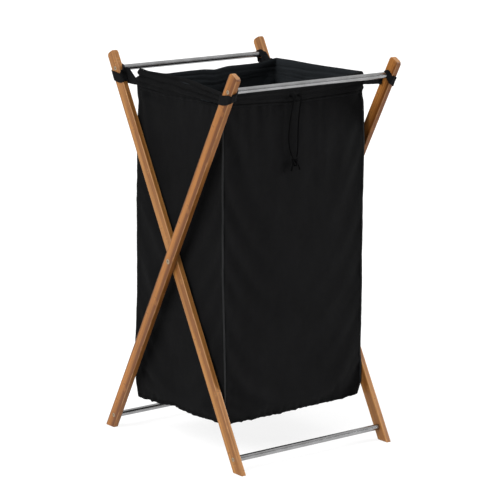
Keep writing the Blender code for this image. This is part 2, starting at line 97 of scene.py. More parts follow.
def make_camera():
    ahead = Vector((
        math.sin(CAMERA_YAW) * math.cos(CAMERA_PITCH),
        math.cos(CAMERA_YAW) * math.cos(CAMERA_PITCH),
        math.sin(CAMERA_PITCH),
    ))
    level = Vector((math.cos(CAMERA_YAW), -math.sin(CAMERA_YAW), 0.0))
    above = level.cross(ahead)
    right = math.cos(CAMERA_ROLL) * level + math.sin(CAMERA_ROLL) * above
    up = math.cos(CAMERA_ROLL) * above - math.sin(CAMERA_ROLL) * level
    data = bpy.data.cameras.new("camera")
    data.sensor_width = SENSOR_MM
    data.lens = LENS_MM
    data.clip_end = 60.0
    camera = bpy.data.objects.new("camera", data)
    axes = Matrix((right, up, -ahead)).transposed().to_4x4()
    camera.matrix_world = Matrix.Translation(CAMERA_PLACE) @ axes
    bpy.context.scene.collection.objects.link(camera)
    bpy.context.scene.camera = camera


# ---------------- mesh helpers
def make_piece(name, points, faces, material, uv=None):
    """Mesh object from points and faces.  uv holds one (u, v) for each point, in metres."""
    mesh = bpy.data.meshes.new(name)
    mesh.from_pydata([tuple(p) for p in points], [], faces)
    mesh.validate()
    if uv is not None:
        layer = mesh.uv_layers.new(name="cloth")
        for loop in mesh.loops:
            layer.data[loop.index].uv = uv[loop.vertex_index]
    mesh.polygons.foreach_set("use_smooth", [True] * len(mesh.polygons))
    mesh.materials.append(material)
    piece = bpy.data.objects.new(name, mesh)
    bpy.context.scene.collection.objects.link(piece)
    return piece


def wobble(x, y, z):
    """Smooth noise about zero."""
    return noise.noise(Vector((x, y, z)))


def bell(distance, width):
    """1 at no distance, soft on both sides, near 0 at twice the width."""
    return math.exp(-(distance / width) ** 2)


def ring_faces(rings, sides, closed=False):
    """Quads between rings of points, numbered ring by ring.  closed joins the last to the first."""
    faces = []
    for r in range(rings if closed else rings - 1):
        low, high = r * sides, (r + 1) % rings * sides
        for k in range(sides):
            m = (k + 1) % sides
            faces.append((low + k, low + m, high + m, high + k))
    return faces


def tube_faces(rings, sides, closed=False):
    faces = ring_faces(rings, sides, closed)
    if not closed:
        faces.append(tuple(reversed(range(sides))))
        faces.append(tuple(range((rings - 1) * sides, rings * sides)))
    return faces


def curve(a, b, c, d, t):
    """Place at t, 0 to 1, between b and c on the smooth curve through all four."""
    return 0.5 * (2 * b + (c - a) * t + (2 * a - 5 * b + 4 * c - d) * t ** 2
                  + (3 * b - a - 3 * c + d) * t ** 3)


def smooth_route(points, spacing):
    """Even points along a smooth curve through given points."""
    route = [Vector(p) for p in points]
    route = [2 * route[0] - route[1]] + route + [2 * route[-1] - route[-2]]
    steps = 24
    fine = []
    for four in zip(route, route[1:], route[2:], route[3:]):
        fine += [curve(*four, i / steps) for i in range(steps)]
    fine.append(route[-2])
    return even_points(fine, spacing)


def distances(points):
    """Way along a route to each of its points."""
    along = [0.0]
    for first, second in zip(points, points[1:]):
        along.append(along[-1] + (second - first).length)
    return along


def route_length(points):
    return distances(points)[-1]


def even_points(fine, spacing):
    along = distances(fine)
    count = max(2, round(along[-1] / spacing))
    targets = np.linspace(0.0, along[-1], count + 1)
    axes = [np.interp(targets, along, [p[k] for p in fine]) for k in range(3)]
    return [Vector(p) for p in zip(*axes)]


def directions(points, closed):
    """Way ahead at each point of a route."""
    count = len(points)
    ahead = []
    for i in range(count):
        before = points[i - 1] if closed or i else points[0]
        after = points[(i + 1) % count] if closed or i < count - 1 else points[-1]
        ahead.append((after - before).normalized())
    return ahead


def tube_grid(points, radius_at, sides, closed=False):
    """Rings round a route, turning as little as possible from one to the next.

    radius_at(metres along, angle) gives each ring point's radius.
    """
    rings = []
    side = None
    for point, ahead, along in zip(points, directions(points, closed), distances(points)):
        side = side or ahead.orthogonal()
        side = (side - ahead * side.dot(ahead)).normalized()
        up = ahead.cross(side)
        for k in range(sides):
            angle = 2 * math.pi * k / sides
            out = side * math.cos(angle) + up * math.sin(angle)
            rings.append(point + out * radius_at(along, angle))
    return rings


class Collected:
    """Points and faces of several small shapes that go into one piece."""

    def __init__(self):
        self.points = []
        self.faces = []

    def add(self, points, faces):
        start = len(self.points)
        self.points += list(points)
        self.faces += [tuple(start + i for i in face) for face in faces]

    def add_tube(self, points, radius_at, sides, closed=False):
        rings = tube_grid(points, radius_at, sides, closed)
        self.add(rings, tube_faces(len(points), sides, closed))

    def piece(self, name, material, uv=None):
        return make_piece(name, self.points, self.faces, material, uv)


# ---------------- material helpers
class Value:
    """A number or colour inside a node tree.  Arithmetic on it adds Math nodes to the tree."""

    def __init__(self, nodes, socket):
        self.nodes = nodes
        self.socket = socket

    def __add__(self, other):
        return self.nodes.math("ADD", self, other)

    def __sub__(self, other):
        return self.nodes.math("SUBTRACT", self, other)

    def __rsub__(self, other):
        return self.nodes.math("SUBTRACT", other, self)

    def __mul__(self, other):
        return self.nodes.math("MULTIPLY", self, other)

    def __truediv__(self, other):
        return self.nodes.math("DIVIDE", self, other)

    def __abs__(self):
        return self.nodes.math("ABSOLUTE", self)

    def mapped(self, from_low, from_high, to_low=0.0, to_high=1.0):
        """This value moved from one range to another, clamped, with soft ends."""
        ranges = {"From Min": from_low, "From Max": from_high, "To Min": to_low, "To Max": to_high}
        return self.nodes.add("MapRange", interpolation_type="SMOOTHSTEP",
                              inputs={"Value": self, **ranges})


class Nodes:
    """Short ways to add shader nodes to one node tree."""

    def __init__(self, tree):
        self.tree = tree

    def feed(self, socket, value):
        if isinstance(value, Value):
            self.tree.links.new(value.socket, socket)
        elif socket.type == "RGBA":
            socket.default_value = (*value, 1.0)
        else:
            socket.default_value = value

    def add(self, kind, output=0, inputs=None, **settings):
        """One output of a new node whose inputs hold plain values or Values."""
        made = self.tree.nodes.new("ShaderNode" + kind)
        for key, value in settings.items():
            setattr(made, key, value)
        for key, value in (inputs or {}).items():
            self.feed(made.inputs[key], value)
        return Value(self, made.outputs[output])

    def math(self, operation, *values):
        return self.add("Math", operation=operation, inputs=dict(enumerate(values)))

    def axes(self, vector):
        parts = self.add("SeparateXYZ", inputs={"Vector": vector}).socket.node
        return [Value(self, socket) for socket in parts.outputs]

    def mix(self, share, first, second):
        """Colour between two colours."""
        made = self.tree.nodes.new("ShaderNodeMix")
        made.data_type = "RGBA"
        self.feed(made.inputs[0], share)
        for socket, colour in zip((s for s in made.inputs if s.type == "RGBA"), (first, second)):
            self.feed(socket, colour)
        return Value(self, next(s for s in made.outputs if s.type == "RGBA"))

    def noise(self, vector, scale, detail=2.0, roughness=0.5):
        """Cloudy noise.  scale is one number, or one for each axis."""
        if isinstance(scale, tuple):
            vector = self.add("Mapping", inputs={"Vector": vector, "Scale": scale})
            scale = 1.0
        inputs = {"Vector": vector, "Scale": scale, "Detail": detail, "Roughness": roughness}
        return self.add("TexNoise", inputs=inputs)


class Finish(Nodes):
    """A new material and the nodes that feed its shader."""

    def __init__(self, name, roughness, metallic=0.0, specular=None):
        self.material = bpy.data.materials.new(name)
        self.material.use_nodes = True
        super().__init__(self.material.node_tree)
        self.shader = self.tree.nodes["Principled BSDF"]
        self.set("Roughness", roughness)
        self.set("Metallic", metallic)
        if specular is not None:
            self.set("Specular IOR Level", specular)
        self.place = self.add("TexCoord", "Object")
        self.relief = {}

    def set(self, name, value):
        self.feed(self.shader.inputs[name], value)

    def bump(self, height, strength, distance):
        """Relief on top of the relief that is there already."""
        inputs = {"Height": height, "Strength": strength, "Distance": distance, **self.relief}
        self.relief = {"Normal": self.add("Bump", inputs=inputs)}
        self.set("Normal", self.relief["Normal"])


# ---------------- bamboo
STRIP_WIDTH = 0.0052
STRIP_START = 20.5          # strips and plies are counted from outside the leg
PLY_THICKNESS = 0.0045
PLY_START = 60.2
KNUCKLE_SPACING = 0.19
LEG_EDGE = 0.0016           # width of the softened edges, which get a lighter painted highlight
EDGE_END = 0.0002           # the masks of the faces end this far inside the leg's surface
NARROW_FACE_PAINTED_SHADE = 0.3          # share of the front strips' darkness painted on the narrow faces as shade
BAMBOO_DARK = (0.05, 0.016, 0.004)
# Light tone, middle tone and the lighter tone of the painted edge highlight (also the base of the end
# grain) of each frame's legs, and how dark their front strips are.
BAMBOO_TONES = {
    "outer": ((0.325, 0.13, 0.029), (0.11, 0.034, 0.005), (0.35, 0.185, 0.08), 0.46),
    "inner": ((0.365, 0.168, 0.044), (0.15, 0.053, 0.011), (0.38, 0.205, 0.092), 0.1),
}


def bamboo_material(frame_name, turn, leg_middle_x):
    """Laminated bamboo whose fibres run along a leg that leans by turn about the pivot axis."""
    light, middle_tone, edge_highlight_and_end_tone, front_shade = BAMBOO_TONES[frame_name]
    wood = Finish(frame_name + "_bamboo", 0.42, specular=0.24)
    upright = {"Rotation": (-turn, 0.0, 0.0)}
    back = Matrix.Rotation(-turn, 3, "X") @ -PIVOT
    leg = wood.add("Mapping", inputs={"Vector": wood.place, "Location": back, **upright})
    x, y, z = wood.axes(leg)

    strip = y / STRIP_WIDTH + STRIP_START
    ply = x / PLY_THICKNESS + PLY_START
    numbers = {"X": wood.math("FLOOR", strip), "Y": wood.math("FLOOR", ply)}
    tone = wood.add("TexWhiteNoise", inputs={"Vector": wood.add("CombineXYZ", inputs=numbers)})
    fibres = wood.noise(leg, (700.0, 700.0, 9.0), 4.0, 0.6)
    broad = wood.noise(leg, (90.0, 90.0, 5.0))
    flecks = wood.noise(leg, (1500.0, 1500.0, 60.0), 1.0).mapped(0.6, 0.72)
    glue = abs(wood.math("FRACT", strip) - 0.5).mapped(0.455, 0.495)
    knuckle = abs(wood.math("FRACT", z / KNUCKLE_SPACING + 9.0 + tone * 7.0) - 0.5)
    knuckle_band = knuckle.mapped(0.006, 0.034, 1.0, 0.0)
    knuckle_line = knuckle.mapped(0.002, 0.009, 1.0, 0.0)

    face_end = LEG_WIDTH / 2 - EDGE_END
    wide_face = abs(y).mapped(face_end - 0.0006, face_end, 1.0, 0.0)
    shade = y.mapped(-0.01, 0.001, front_shade, 0.0) * wide_face
    # Painted shade: the narrow faces take a share of the front strip's darkness.
    shade = (1.0 - wide_face) * (NARROW_FACE_PAINTED_SHADE * front_shade) + shade
    share = tone * 0.26 + fibres * 0.55 + broad * 0.55 - shade
    colour = wood.mix(share.mapped(0.42, 0.92), middle_tone, light)
    dark = wood.math("MAXIMUM", flecks * 0.3, glue * 0.45)
    dark = wood.math("MAXIMUM", dark, knuckle_line * 0.8)
    colour = wood.mix(dark, colour, BAMBOO_DARK)
    colour = wood.mix(knuckle_band * 0.35, colour, light)

    # Painted highlight: the long edges are made lighter in patches, towards the edge highlight tone.
    across_edge = abs(y).mapped(LEG_WIDTH / 2 - LEG_EDGE, face_end)
    off_middle = abs(abs(x) - leg_middle_x)
    through_edge = off_middle.mapped(LEG_THICKNESS / 2 - LEG_EDGE, LEG_THICKNESS / 2 - EDGE_END)
    edge = wood.math("MINIMUM", across_edge, through_edge)
    edge_highlight_breakup = wood.noise(leg, (160.0, 160.0, 45.0), 3.0).mapped(0.35, 0.62, 0.25, 0.85)
    colour = wood.mix(edge * edge_highlight_breakup, colour, edge_highlight_and_end_tone)

    normal = {"Vector": wood.add("TexCoord", "Normal"), **upright}
    end = abs(wood.axes(wood.add("Mapping", vector_type="VECTOR", inputs=normal))[2])
    dots = wood.noise(leg, 2100.0, 1.0).mapped(0.5, 0.64, 0.0, 0.6)
    end_colour = wood.mix(dots, edge_highlight_and_end_tone, middle_tone)
    wood.set("Base Color", wood.mix(end.mapped(0.72, 0.9) * 0.8, colour, end_colour))
    wood.set("Roughness", fibres.mapped(0.3, 0.7, 0.36, 0.52))
    wood.bump(fibres, 0.3, 0.00025)
    wood.bump(knuckle_band - glue, 0.35, 0.0003)
    return wood.material


# ---------------- metal and plastic
def tube_material():
    """Satin steel tube, polished lengthwise, with faint handling marks."""
    steel = Finish("satin_tube_steel", 0.24, metallic=1.0)
    lines = steel.noise(steel.place, (14.0, 2600.0, 2600.0), 3.0, 0.7)
    cloud = steel.noise(steel.place, 38.0, 3.0)
    colour = steel.mix(cloud.mapped(0.3, 0.7), (0.26, 0.26, 0.26), (0.33, 0.33, 0.335))
    steel.set("Base Color", colour)
    steel.set("Roughness", lines * 0.08 + (cloud * 0.05 + 0.13))
    steel.bump(lines, 0.05, 0.00003)
    return steel.material


def metal_material(name, low, high, roughness, grain):
    """Small metal part with a fine mottled plating."""
    metal = Finish(name, roughness, metallic=1.0)
    cloud = metal.noise(metal.place, grain, 4.0, 0.65)
    metal.set("Base Color", metal.mix(cloud.mapped(0.3, 0.7), low, high))
    metal.set("Roughness", cloud * 0.16 + (roughness - 0.08))
    metal.bump(cloud, 0.15, 0.00005)
    return metal.material


def nylon_material():
    nylon = Finish("moulded_nylon", 0.5)
    cloud = nylon.noise(nylon.place, 900.0, 3.0)
    nylon.set("Base Color", nylon.mix(cloud, (0.66, 0.65, 0.6), (0.78, 0.77, 0.73)))
    nylon.set("Subsurface Weight", 0.1)
    nylon.bump(cloud, 0.1, 0.00004)
    return nylon.material


# ---------------- cloth
def cloth_material(name, dark, light, pitch):
    """Dyed plain weave, one thread each way in pitch metres.

    Its piece carries a UV map in metres, across and along the threads.
    """
    cloth = Finish(name, 0.88, specular=0.05)
    uv = cloth.add("UVMap", uv_map="cloth")
    across, along, _ = cloth.axes(uv)
    turns = 2 * math.pi / pitch
    weave = cloth.math("SINE", across * turns) * cloth.math("SINE", along * turns) * 0.5 + 0.5
    slubs = (cloth.noise(uv, (60.0, 1600.0, 1.0)) + cloth.noise(uv, (1600.0, 60.0, 1.0))) * 0.5
    faded = cloth.noise(cloth.place, 11.0, 4.0, 0.6)
    lint = cloth.noise(cloth.place, 420.0, 2.0, 0.7).mapped(0.68, 0.8, 0.0, 0.35)
    share = weave * 0.4 + slubs * 0.45 + faded * 0.45
    colour = cloth.mix(share.mapped(0.3, 0.95), dark, light)
    cloth.set("Base Color", cloth.mix(lint, colour, tuple(2.2 * c for c in light)))
    cloth.set("Roughness", slubs.mapped(0.3, 0.7, 0.82, 0.95))
    cloth.set("Sheen Weight", 0.012)
    cloth.set("Sheen Roughness", 0.45)
    cloth.bump(weave, 0.5, 0.00022)
    cloth.bump(slubs, 0.35, 0.0003)
    cloth.bump(cloth.noise(cloth.place, 55.0, 4.0, 0.55), 0.3, 0.0016)
    return cloth.material


def thread_material(name, dark, light, grain):
    """Twisted thread or cord: fine fibres, no UV map needed."""
    thread = Finish(name, 0.88, specular=0.02)
    fibres = thread.noise(thread.place, grain, 3.0, 0.7)
    thread.set("Base Color", thread.mix(fibres.mapped(0.3, 0.7), dark, light))
    thread.set("Roughness", fibres.mapped(0.3, 0.7, 0.72, 0.92))
    thread.bump(fibres, 0.4, 0.00012)
    return thread.material


# Dark and light tone of each cloth, and metres for one thread each way.
CLOTHS = {
    "black_cloth": ((0.0013, 0.0013, 0.0014), (0.0044, 0.0045, 0.0048), 0.0011),
    # The inside cloth is lighter and more bluish than the outside: painted light falling into the bag.
    "bluish_inside_painted_light": ((0.0066, 0.0077, 0.0087), (0.018, 0.0208, 0.0235), 0.0011),
    # The seam cloth is lighter grey than the bag: a painted sheen where the corner ridges catch the light.
    "seam_cloth_painted_sheen": ((0.0088, 0.009, 0.0092), (0.022, 0.0226, 0.0232), 0.0009),
    "strap_cloth": ((0.002, 0.002, 0.0022), (0.0062, 0.0064, 0.007), 0.001),
}
# Dark and light tone of each thread, and the scale of its fibres.
THREADS = {
    "black_cord": ((0.001, 0.001, 0.0011), (0.0036, 0.0036, 0.0039), 1500.0),
    "black_thread": ((0.001, 0.001, 0.001), (0.0036, 0.0036, 0.0038), 2600.0),
}
# Low and high tone of each metal, its roughness and the scale of its mottling.
METALS = {
    "screw_steel": ((0.29, 0.22, 0.15), (0.43, 0.34, 0.24), 0.38, 1400.0),
    "zinc_plating": ((0.3, 0.31, 0.32), (0.42, 0.43, 0.44), 0.45, 800.0),
}
# Finish of the CAD nodes that stay visible, by a part of their name.
FINISHES = {
    "outer_left_leg": "outer_bamboo", "outer_right_leg": "outer_bamboo",
    "inner_left_leg": "inner_bamboo", "inner_right_leg": "inner_bamboo",
    "_tube": "satin_tube_steel", "tube_screw_": "screw_steel", "pivot_bolt_": "screw_steel",
    "pivot_sleeve_": "screw_steel", "tube_plug_": "zinc_plating", "pivot_washer_": "moulded_nylon",
}


def make_materials():
    """All materials, by the names that the tables above use."""
    made = {
        "outer_bamboo": bamboo_material("outer", LEAN, LEG_MIDDLE_X["front"]),
        "inner_bamboo": bamboo_material("inner", -LEAN, LEG_MIDDLE_X["rear"]),
        "satin_tube_steel": tube_material(),
        "moulded_nylon": nylon_material(),
    }
    tables = ((metal_material, METALS), (cloth_material, CLOTHS), (thread_material, THREADS))
    for maker, table in tables:
        for name, row in table.items():
            made[name] = maker(name, *row)
    return made


def dress_frame(materials):
    """Finished materials on the CAD nodes that stay visible."""
    for name, piece in frame["nodes"].items():
        for part, finish in FINISHES.items():
            if name.startswith(part) or name.endswith(part):
                piece.data.materials.clear()
                piece.data.materials.append(materials[finish])


# ---------------- bag: outline
# Corner seams: (height, how far outside the nominal corner in x, and in y).  Rim, stitch line and
# bottom edge: (share of the way along the side, height).  Sides run left to right in front, front
# to rear on the right, right to left at the rear and rear to front on the left.
CORNERS = {
    "front_left": ((0.064, -0.004, 0.0), (0.142, -0.0034, 0.0008), (0.216, -0.0024, 0.0),
                   (0.305, -0.001, -0.002), (0.56, -0.001, -0.002), (0.612, -0.001, -0.002)),
    "front_right": ((0.07, -0.0048, -0.003), (0.094, 0.0002, -0.002), (0.163, -0.0013, -0.002),
                    (0.232, -0.0001, -0.002), (0.35, -0.0005, -0.002), (0.45, 0.0002, -0.002),
                    (0.483, 0.0014, -0.002), (0.532, -0.0003, -0.002), (0.585, -0.004, -0.0015),
                    (0.612, -0.003, -0.002)),
    "rear_right": ((0.064, -0.004, -0.0015), (0.09, -0.001, 0.003), (0.16, -0.001, 0.0032),
                   (0.26, -0.001, 0.001), (0.4, -0.0002, -0.001), (0.5, -0.0005, -0.003),
                   (0.57, -0.0016, -0.006), (0.59, -0.0012, -0.004), (0.612, -0.002, -0.007)),
    "rear_left": ((0.06, -0.0016, 0.001), (0.087, -0.0009, 0.0067), (0.174, -0.0009, 0.0046),
                  (0.26, -0.0009, 0.0004), (0.395, -0.0009, 0.0), (0.479, -0.0009, -0.003),
                  (0.562, -0.0009, -0.007), (0.59, -0.0006, -0.0042), (0.614, -0.0009, -0.009)),
}
RIM = {
    "front": ((0.0, 0.602), (0.2, 0.6015), (0.44, 0.5985), (0.53, 0.5985), (0.8, 0.604), (1.0, 0.612)),
    "right": ((0.0, 0.612), (0.3, 0.6112), (0.6, 0.6105), (0.8, 0.6105), (1.0, 0.6093)),
    "rear": ((0.0, 0.6093), (0.15, 0.604), (0.38, 0.6042), (0.47, 0.6008), (0.55, 0.6032),
             (0.82, 0.6022), (0.93, 0.6085), (1.0, 0.6158)),
    "left": ((0.0, 0.6158), (0.06, 0.6132), (0.3, 0.612), (0.46, 0.6112), (0.64, 0.6088),
             (0.8, 0.605), (1.0, 0.602)),
}
STITCH_LINE = {
    "front": ((0.0, 0.5805), (0.12, 0.579), (0.3, 0.577), (0.46, 0.574), (0.65, 0.576), (1.0, 0.579)),
    "right": ((0.0, 0.579), (0.5, 0.58), (1.0, 0.58)),
    "rear": ((0.0, 0.58), (0.47, 0.572), (1.0, 0.584)),
    "left": ((0.0, 0.584), (0.3, 0.5795), (0.55, 0.579), (0.8, 0.5815), (1.0, 0.5805)),
}
BOTTOM = {
    "front": ((0.0, 0.0685), (0.25, 0.068), (0.45, 0.0678), (0.65, 0.0688), (0.88, 0.0695), (1.0, 0.0712)),
    "right": ((0.0, 0.0712), (0.3, 0.068), (0.6, 0.066), (1.0, 0.0635)),
    "rear": ((0.0, 0.0635), (0.35, 0.0665), (0.65, 0.065), (1.0, 0.0598)),
    "left": ((0.0, 0.0598), (0.12, 0.062), (0.29, 0.0635), (0.43, 0.069), (0.55, 0.0664),
             (0.68, 0.0656), (0.82, 0.0674), (1.0, 0.0685)),
}
WALKS = (
    ("front", "front_left", "front_right", (0.0, -1.0)),
    ("right", "front_right", "rear_right", (1.0, 0.0)),
    ("rear", "rear_right", "rear_left", (0.0, 1.0)),
    ("left", "rear_left", "front_left", (-1.0, 0.0)),
)
COLUMNS = {"front": 36, "right": 30, "rear": 36, "left": 30}
AROUND = sum(COLUMNS.values())
# Column of each corner seam once the grid is doubled.
CORNER_COLUMNS = {
    "front_left": 0,
    "front_right": 2 * COLUMNS["front"],
    "rear_right": 2 * (COLUMNS["front"] + COLUMNS["right"]),
    "rear_left": 2 * (AROUND - COLUMNS["left"]),
}
ROWS = 68                  # rows of cells down the walls
HEM_ROWS = 3               # rows at the top that stay still while the cloth hangs
RIM_LEAN = {"front": 0.003, "right": 0.004, "rear": 0.005, "left": 0.009}   # inward, at mid-side
RIM_LEAN_SHARE = 0.1       # share of a wall's height in which it comes back upright
FLOOR_SAG = 0.0016
BELLY = {"front": 0.0032, "right": 0.002, "rear": 0.0034, "left": 0.002}
# Creases: side, then (share along, height) at both ends, depth and half width of the valley.
CREASES = (
    ("front", (0.985, 0.578), (0.86, 0.52), 0.0026, 0.008),
    ("front", (0.02, 0.574), (0.13, 0.545), 0.0014, 0.007),
    ("front", (0.4, 0.572), (0.3, 0.566), 0.0014, 0.004),
    ("front", (0.55, 0.572), (0.64, 0.567), 0.0014, 0.004),
    ("front", (0.03, 0.095), (0.16, 0.072), 0.0012, 0.006),
    ("front", (0.99, 0.115), (0.9, 0.078), 0.0022, 0.007),
    ("front", (0.1, 0.48), (0.34, 0.476), 0.0008, 0.006),
    ("left", (0.1, 0.574), (0.46, 0.566), 0.0036, 0.0042),
    ("left", (0.02, 0.56), (0.1, 0.5), 0.0016, 0.007),
    ("left", (0.06, 0.15), (0.24, 0.075), 0.0022, 0.008),
    ("left", (0.12, 0.105), (0.42, 0.078), 0.0018, 0.006),
    ("left", (0.95, 0.12), (0.8, 0.074), 0.0014, 0.007),
    ("left", (0.97, 0.56), (0.86, 0.5), 0.0016, 0.007),
    ("right", (0.03, 0.575), (0.16, 0.52), 0.002, 0.008),
    ("right", (0.97, 0.575), (0.84, 0.53), 0.002, 0.008),
    ("right", (0.06, 0.12), (0.26, 0.074), 0.0018, 0.007),
    ("rear", (0.02, 0.575), (0.15, 0.525), 0.002, 0.008),
    ("rear", (0.98, 0.572), (0.86, 0.52), 0.0022, 0.008),
    ("rear", (0.95, 0.12), (0.78, 0.074), 0.002, 0.007),
    ("rear", (0.3, 0.571), (0.52, 0.566), 0.0014, 0.004),
)
LEG_CLEAR_X = 0.145        # the side walls stay inside the inner frame's legs
CLOTH = 0.0009             # thickness
SETTLE_FRAMES = 32
SETTLE_REACH = 0.003       # the furthest that the cloth hangs away from its drawn place

CLOTH_SETTINGS = {
    "quality": 6, "mass": 0.12, "tension_stiffness": 18.0, "compression_stiffness": 12.0,
    "shear_stiffness": 6.0, "bending_stiffness": 0.9, "air_damping": 3.0,
    "vertex_group_mass": "held", "shrink_min": -0.003,
}


def table_value(table, at):
    """Value of a table at one place, on straight lines between its rows."""
    at = min(max(at, table[0][0]), table[-1][0])
    for low, high in zip(table, table[1:]):
        if at <= high[0]:
            t = (at - low[0]) / (high[0] - low[0])
            return low[1] + (high[1] - low[1]) * t
    return table[-1][1]


def corner_place(corner, height):
    sign_x = -1.0 if corner.endswith("left") else 1.0
    sign_y = -1.0 if corner.startswith("front") else 1.0
    out_x = table_value([(h, dx) for h, dx, _ in CORNERS[corner]], height)
    out_y = table_value([(h, dy) for h, _, dy in CORNERS[corner]], height)
    return Vector((sign_x * (BAG_HALF_X + out_x), sign_y * (BAG_HALF_Y + out_y), height))


def column_places():
    """(side, start corner, end corner, outward, share) of each column, once round the bag."""
    places = []
    for side, start, end, outward in WALKS:
        for i in range(COLUMNS[side]):
            places.append((side, start, end, outward, i / COLUMNS[side]))
    return places


def drawn_walls():
    """Grid of wall points, rim to bottom edge, as the seams hold them before the cloth hangs."""
    walls = np.zeros((ROWS + 1, AROUND, 3))
    for c, (side, start, end, outward, share) in enumerate(column_places()):
        rim = table_value(RIM[side], share)
        bottom = table_value(BOTTOM[side], share)
        for r in range(ROWS + 1):
            down = r / ROWS
            height = rim + (bottom - rim) * down
            a = corner_place(start, height)
            b = corner_place(end, height)
            point = a.lerp(b, share)
            point.z = height
            middle_of_side = math.sin(math.pi * share)
            lean = RIM_LEAN[side] * middle_of_side * max(0.0, 1.0 - down / RIM_LEAN_SHARE) ** 1.5
            belly = BELLY[side] * (1.0 - abs(2.0 * share - 1.0) ** 5) * min(1.0, down * 12.0)
            wave = 0.002 * middle_of_side * wobble(point.x * 9.0, point.y * 9.0, height * 5.0)
            wave *= min(1.0, down * 8.0)
            shift = belly + wave - lean
            point.x += outward[0] * shift
            point.y += outward[1] * shift
            walls[r, c] = point
    return walls


def edge_columns(nx, ny):
    """Wall columns along the bottom panel's front, right, rear and left edge.

    Each list runs the way that x or y grows.
    """
    around = 2 * (nx + ny)
    front = list(range(nx + 1))
    right = list(range(nx, nx + ny + 1))
    rear = [(2 * nx + ny - i) % around for i in range(nx + 1)]
    left = [(around - j) % around for j in range(ny + 1)]
    return front, right, rear, left


def drawn_floor(edge):
    """Grid of the bottom panel inside the walls' bottom edge, sagging a little."""
    nx, ny = COLUMNS["front"], COLUMNS["right"]
    front, right, rear, left = (edge[columns] for columns in edge_columns(nx, ny))
    grid = np.zeros((ny + 1, nx + 1, 3))
    for j in range(ny + 1):
        for i in range(nx + 1):
            u, v = i / nx, j / ny
            across = (1 - v) * front[i] + v * rear[i] + (1 - u) * left[j] + u * right[j]
            corners = ((1 - u) * (1 - v) * front[0] + u * (1 - v) * front[nx]
                       + u * v * rear[nx] + (1 - u) * v * rear[0])
            grid[j, i] = across - corners
            grid[j, i, 2] -= FLOOR_SAG * math.sin(math.pi * u) * math.sin(math.pi * v)
    return grid


def floor_numbers(wall_start, nx, ny, inner_start):
    """Point number of each place in the bottom panel's grid, whose edge is the walls' last row."""
    numbers = np.zeros((ny + 1, nx + 1), int)
    front, right, rear, left = (wall_start + np.array(c) for c in edge_columns(nx, ny))
    numbers[0], numbers[ny], numbers[:, nx], numbers[:, 0] = front, rear, right, left
    numbers[1:ny, 1:nx] = inner_start + np.arange((ny - 1) * (nx - 1)).reshape(ny - 1, nx - 1)
    return numbers


def shell_mesh_data(walls, floor):
    """Points and faces of the walls and the bottom panel as one sheet."""
    rows, around = walls.shape[:2]
    ny, nx = floor.shape[0] - 1, floor.shape[1] - 1
    points = [Vector(p) for p in walls.reshape(-1, 3)]
    inner_start = len(points)
    points += [Vector(p) for p in floor[1:ny, 1:nx].reshape(-1, 3)]
    faces = [tuple(reversed(f)) for f in ring_faces(rows, around)]
    numbers = floor_numbers((rows - 1) * around, nx, ny, inner_start)
    quads = np.stack([numbers[:-1, :-1], numbers[1:, :-1], numbers[1:, 1:], numbers[:-1, 1:]], axis=2)
    faces += [tuple(quad) for quad in quads.reshape(-1, 4).tolist()]
    return points, faces, numbers


# ---------------- bag: hanging cloth
def settle(walls, floor):
    """Lets the cloth hang from its hem and seams, and returns both grids as they come to rest."""
    points, faces, numbers = shell_mesh_data(walls, floor)
    mesh = bpy.data.meshes.new("settling_cloth")
    mesh.from_pydata(points, [], faces)
    cloth = bpy.data.objects.new("settling_cloth", mesh)
    bpy.context.scene.collection.objects.link(cloth)
    held = cloth.vertex_groups.new(name="held")
    for r in range(ROWS + 1):
        for c in range(AROUND):
            if r <= HEM_ROWS or r == ROWS or 2 * c in CORNER_COLUMNS.values():
                held.add([r * AROUND + c], 1.0, "REPLACE")
    hang = cloth.modifiers.new("hang", "CLOTH")
    for name, value in CLOTH_SETTINGS.items():
        setattr(hang.settings, name, value)
    hang.collision_settings.use_collision = False
    hang.collision_settings.use_self_collision = False
    hang.point_cache.frame_start = 1
    hang.point_cache.frame_end = SETTLE_FRAMES
    scene = bpy.context.scene
    for number in range(1, SETTLE_FRAMES + 1):
        scene.frame_set(number)
    result = cloth.evaluated_get(bpy.context.evaluated_depsgraph_get())
    hung = np.array([v.co for v in result.data.vertices], float)
    bpy.data.objects.remove(cloth, do_unlink=True)
    scene.frame_set(1)

    drawn = np.array(points)
    moved = hung - drawn
    far = np.linalg.norm(moved, axis=1, keepdims=True)
    moved *= SETTLE_REACH * np.tanh(far / SETTLE_REACH) / np.maximum(far, 1e-9)
    hung = drawn + moved
    return hung[: walls.shape[0] * AROUND].reshape(walls.shape), hung[numbers]


def doubled(grid, around):
    """Twice as many rows and columns, on smooth curves through the old points."""
    for axis, wraps in ((1, around), (0, False)):
        grid = np.moveaxis(grid, axis, 0)
        if wraps:
            wide = np.concatenate([grid[-1:], grid, grid[:2]])
        else:
            wide = np.concatenate([2 * grid[:1] - grid[1:2], grid, 2 * grid[-1:] - grid[-2:-1]])
        between = (-wide[:-3] + 9 * wide[1:-2] + 9 * wide[2:-1] - wide[3:]) / 16
        made = np.zeros((len(grid) + len(between), *grid.shape[1:]))
        made[0::2] = grid
        made[1::2] = between
        grid = np.moveaxis(made, 0, axis)
    return grid


def wall_normals(walls):
    """Outward normals of the wall grid."""
    across = np.roll(walls, -1, axis=1) - np.roll(walls, 1, axis=1)
    down = np.gradient(walls, axis=0)
    normals = np.cross(down, across)
    normals /= np.maximum(np.linalg.norm(normals, axis=2, keepdims=True), 1e-9)
    return normals if (normals * walls)[:, :, :2].sum() > 0 else -normals


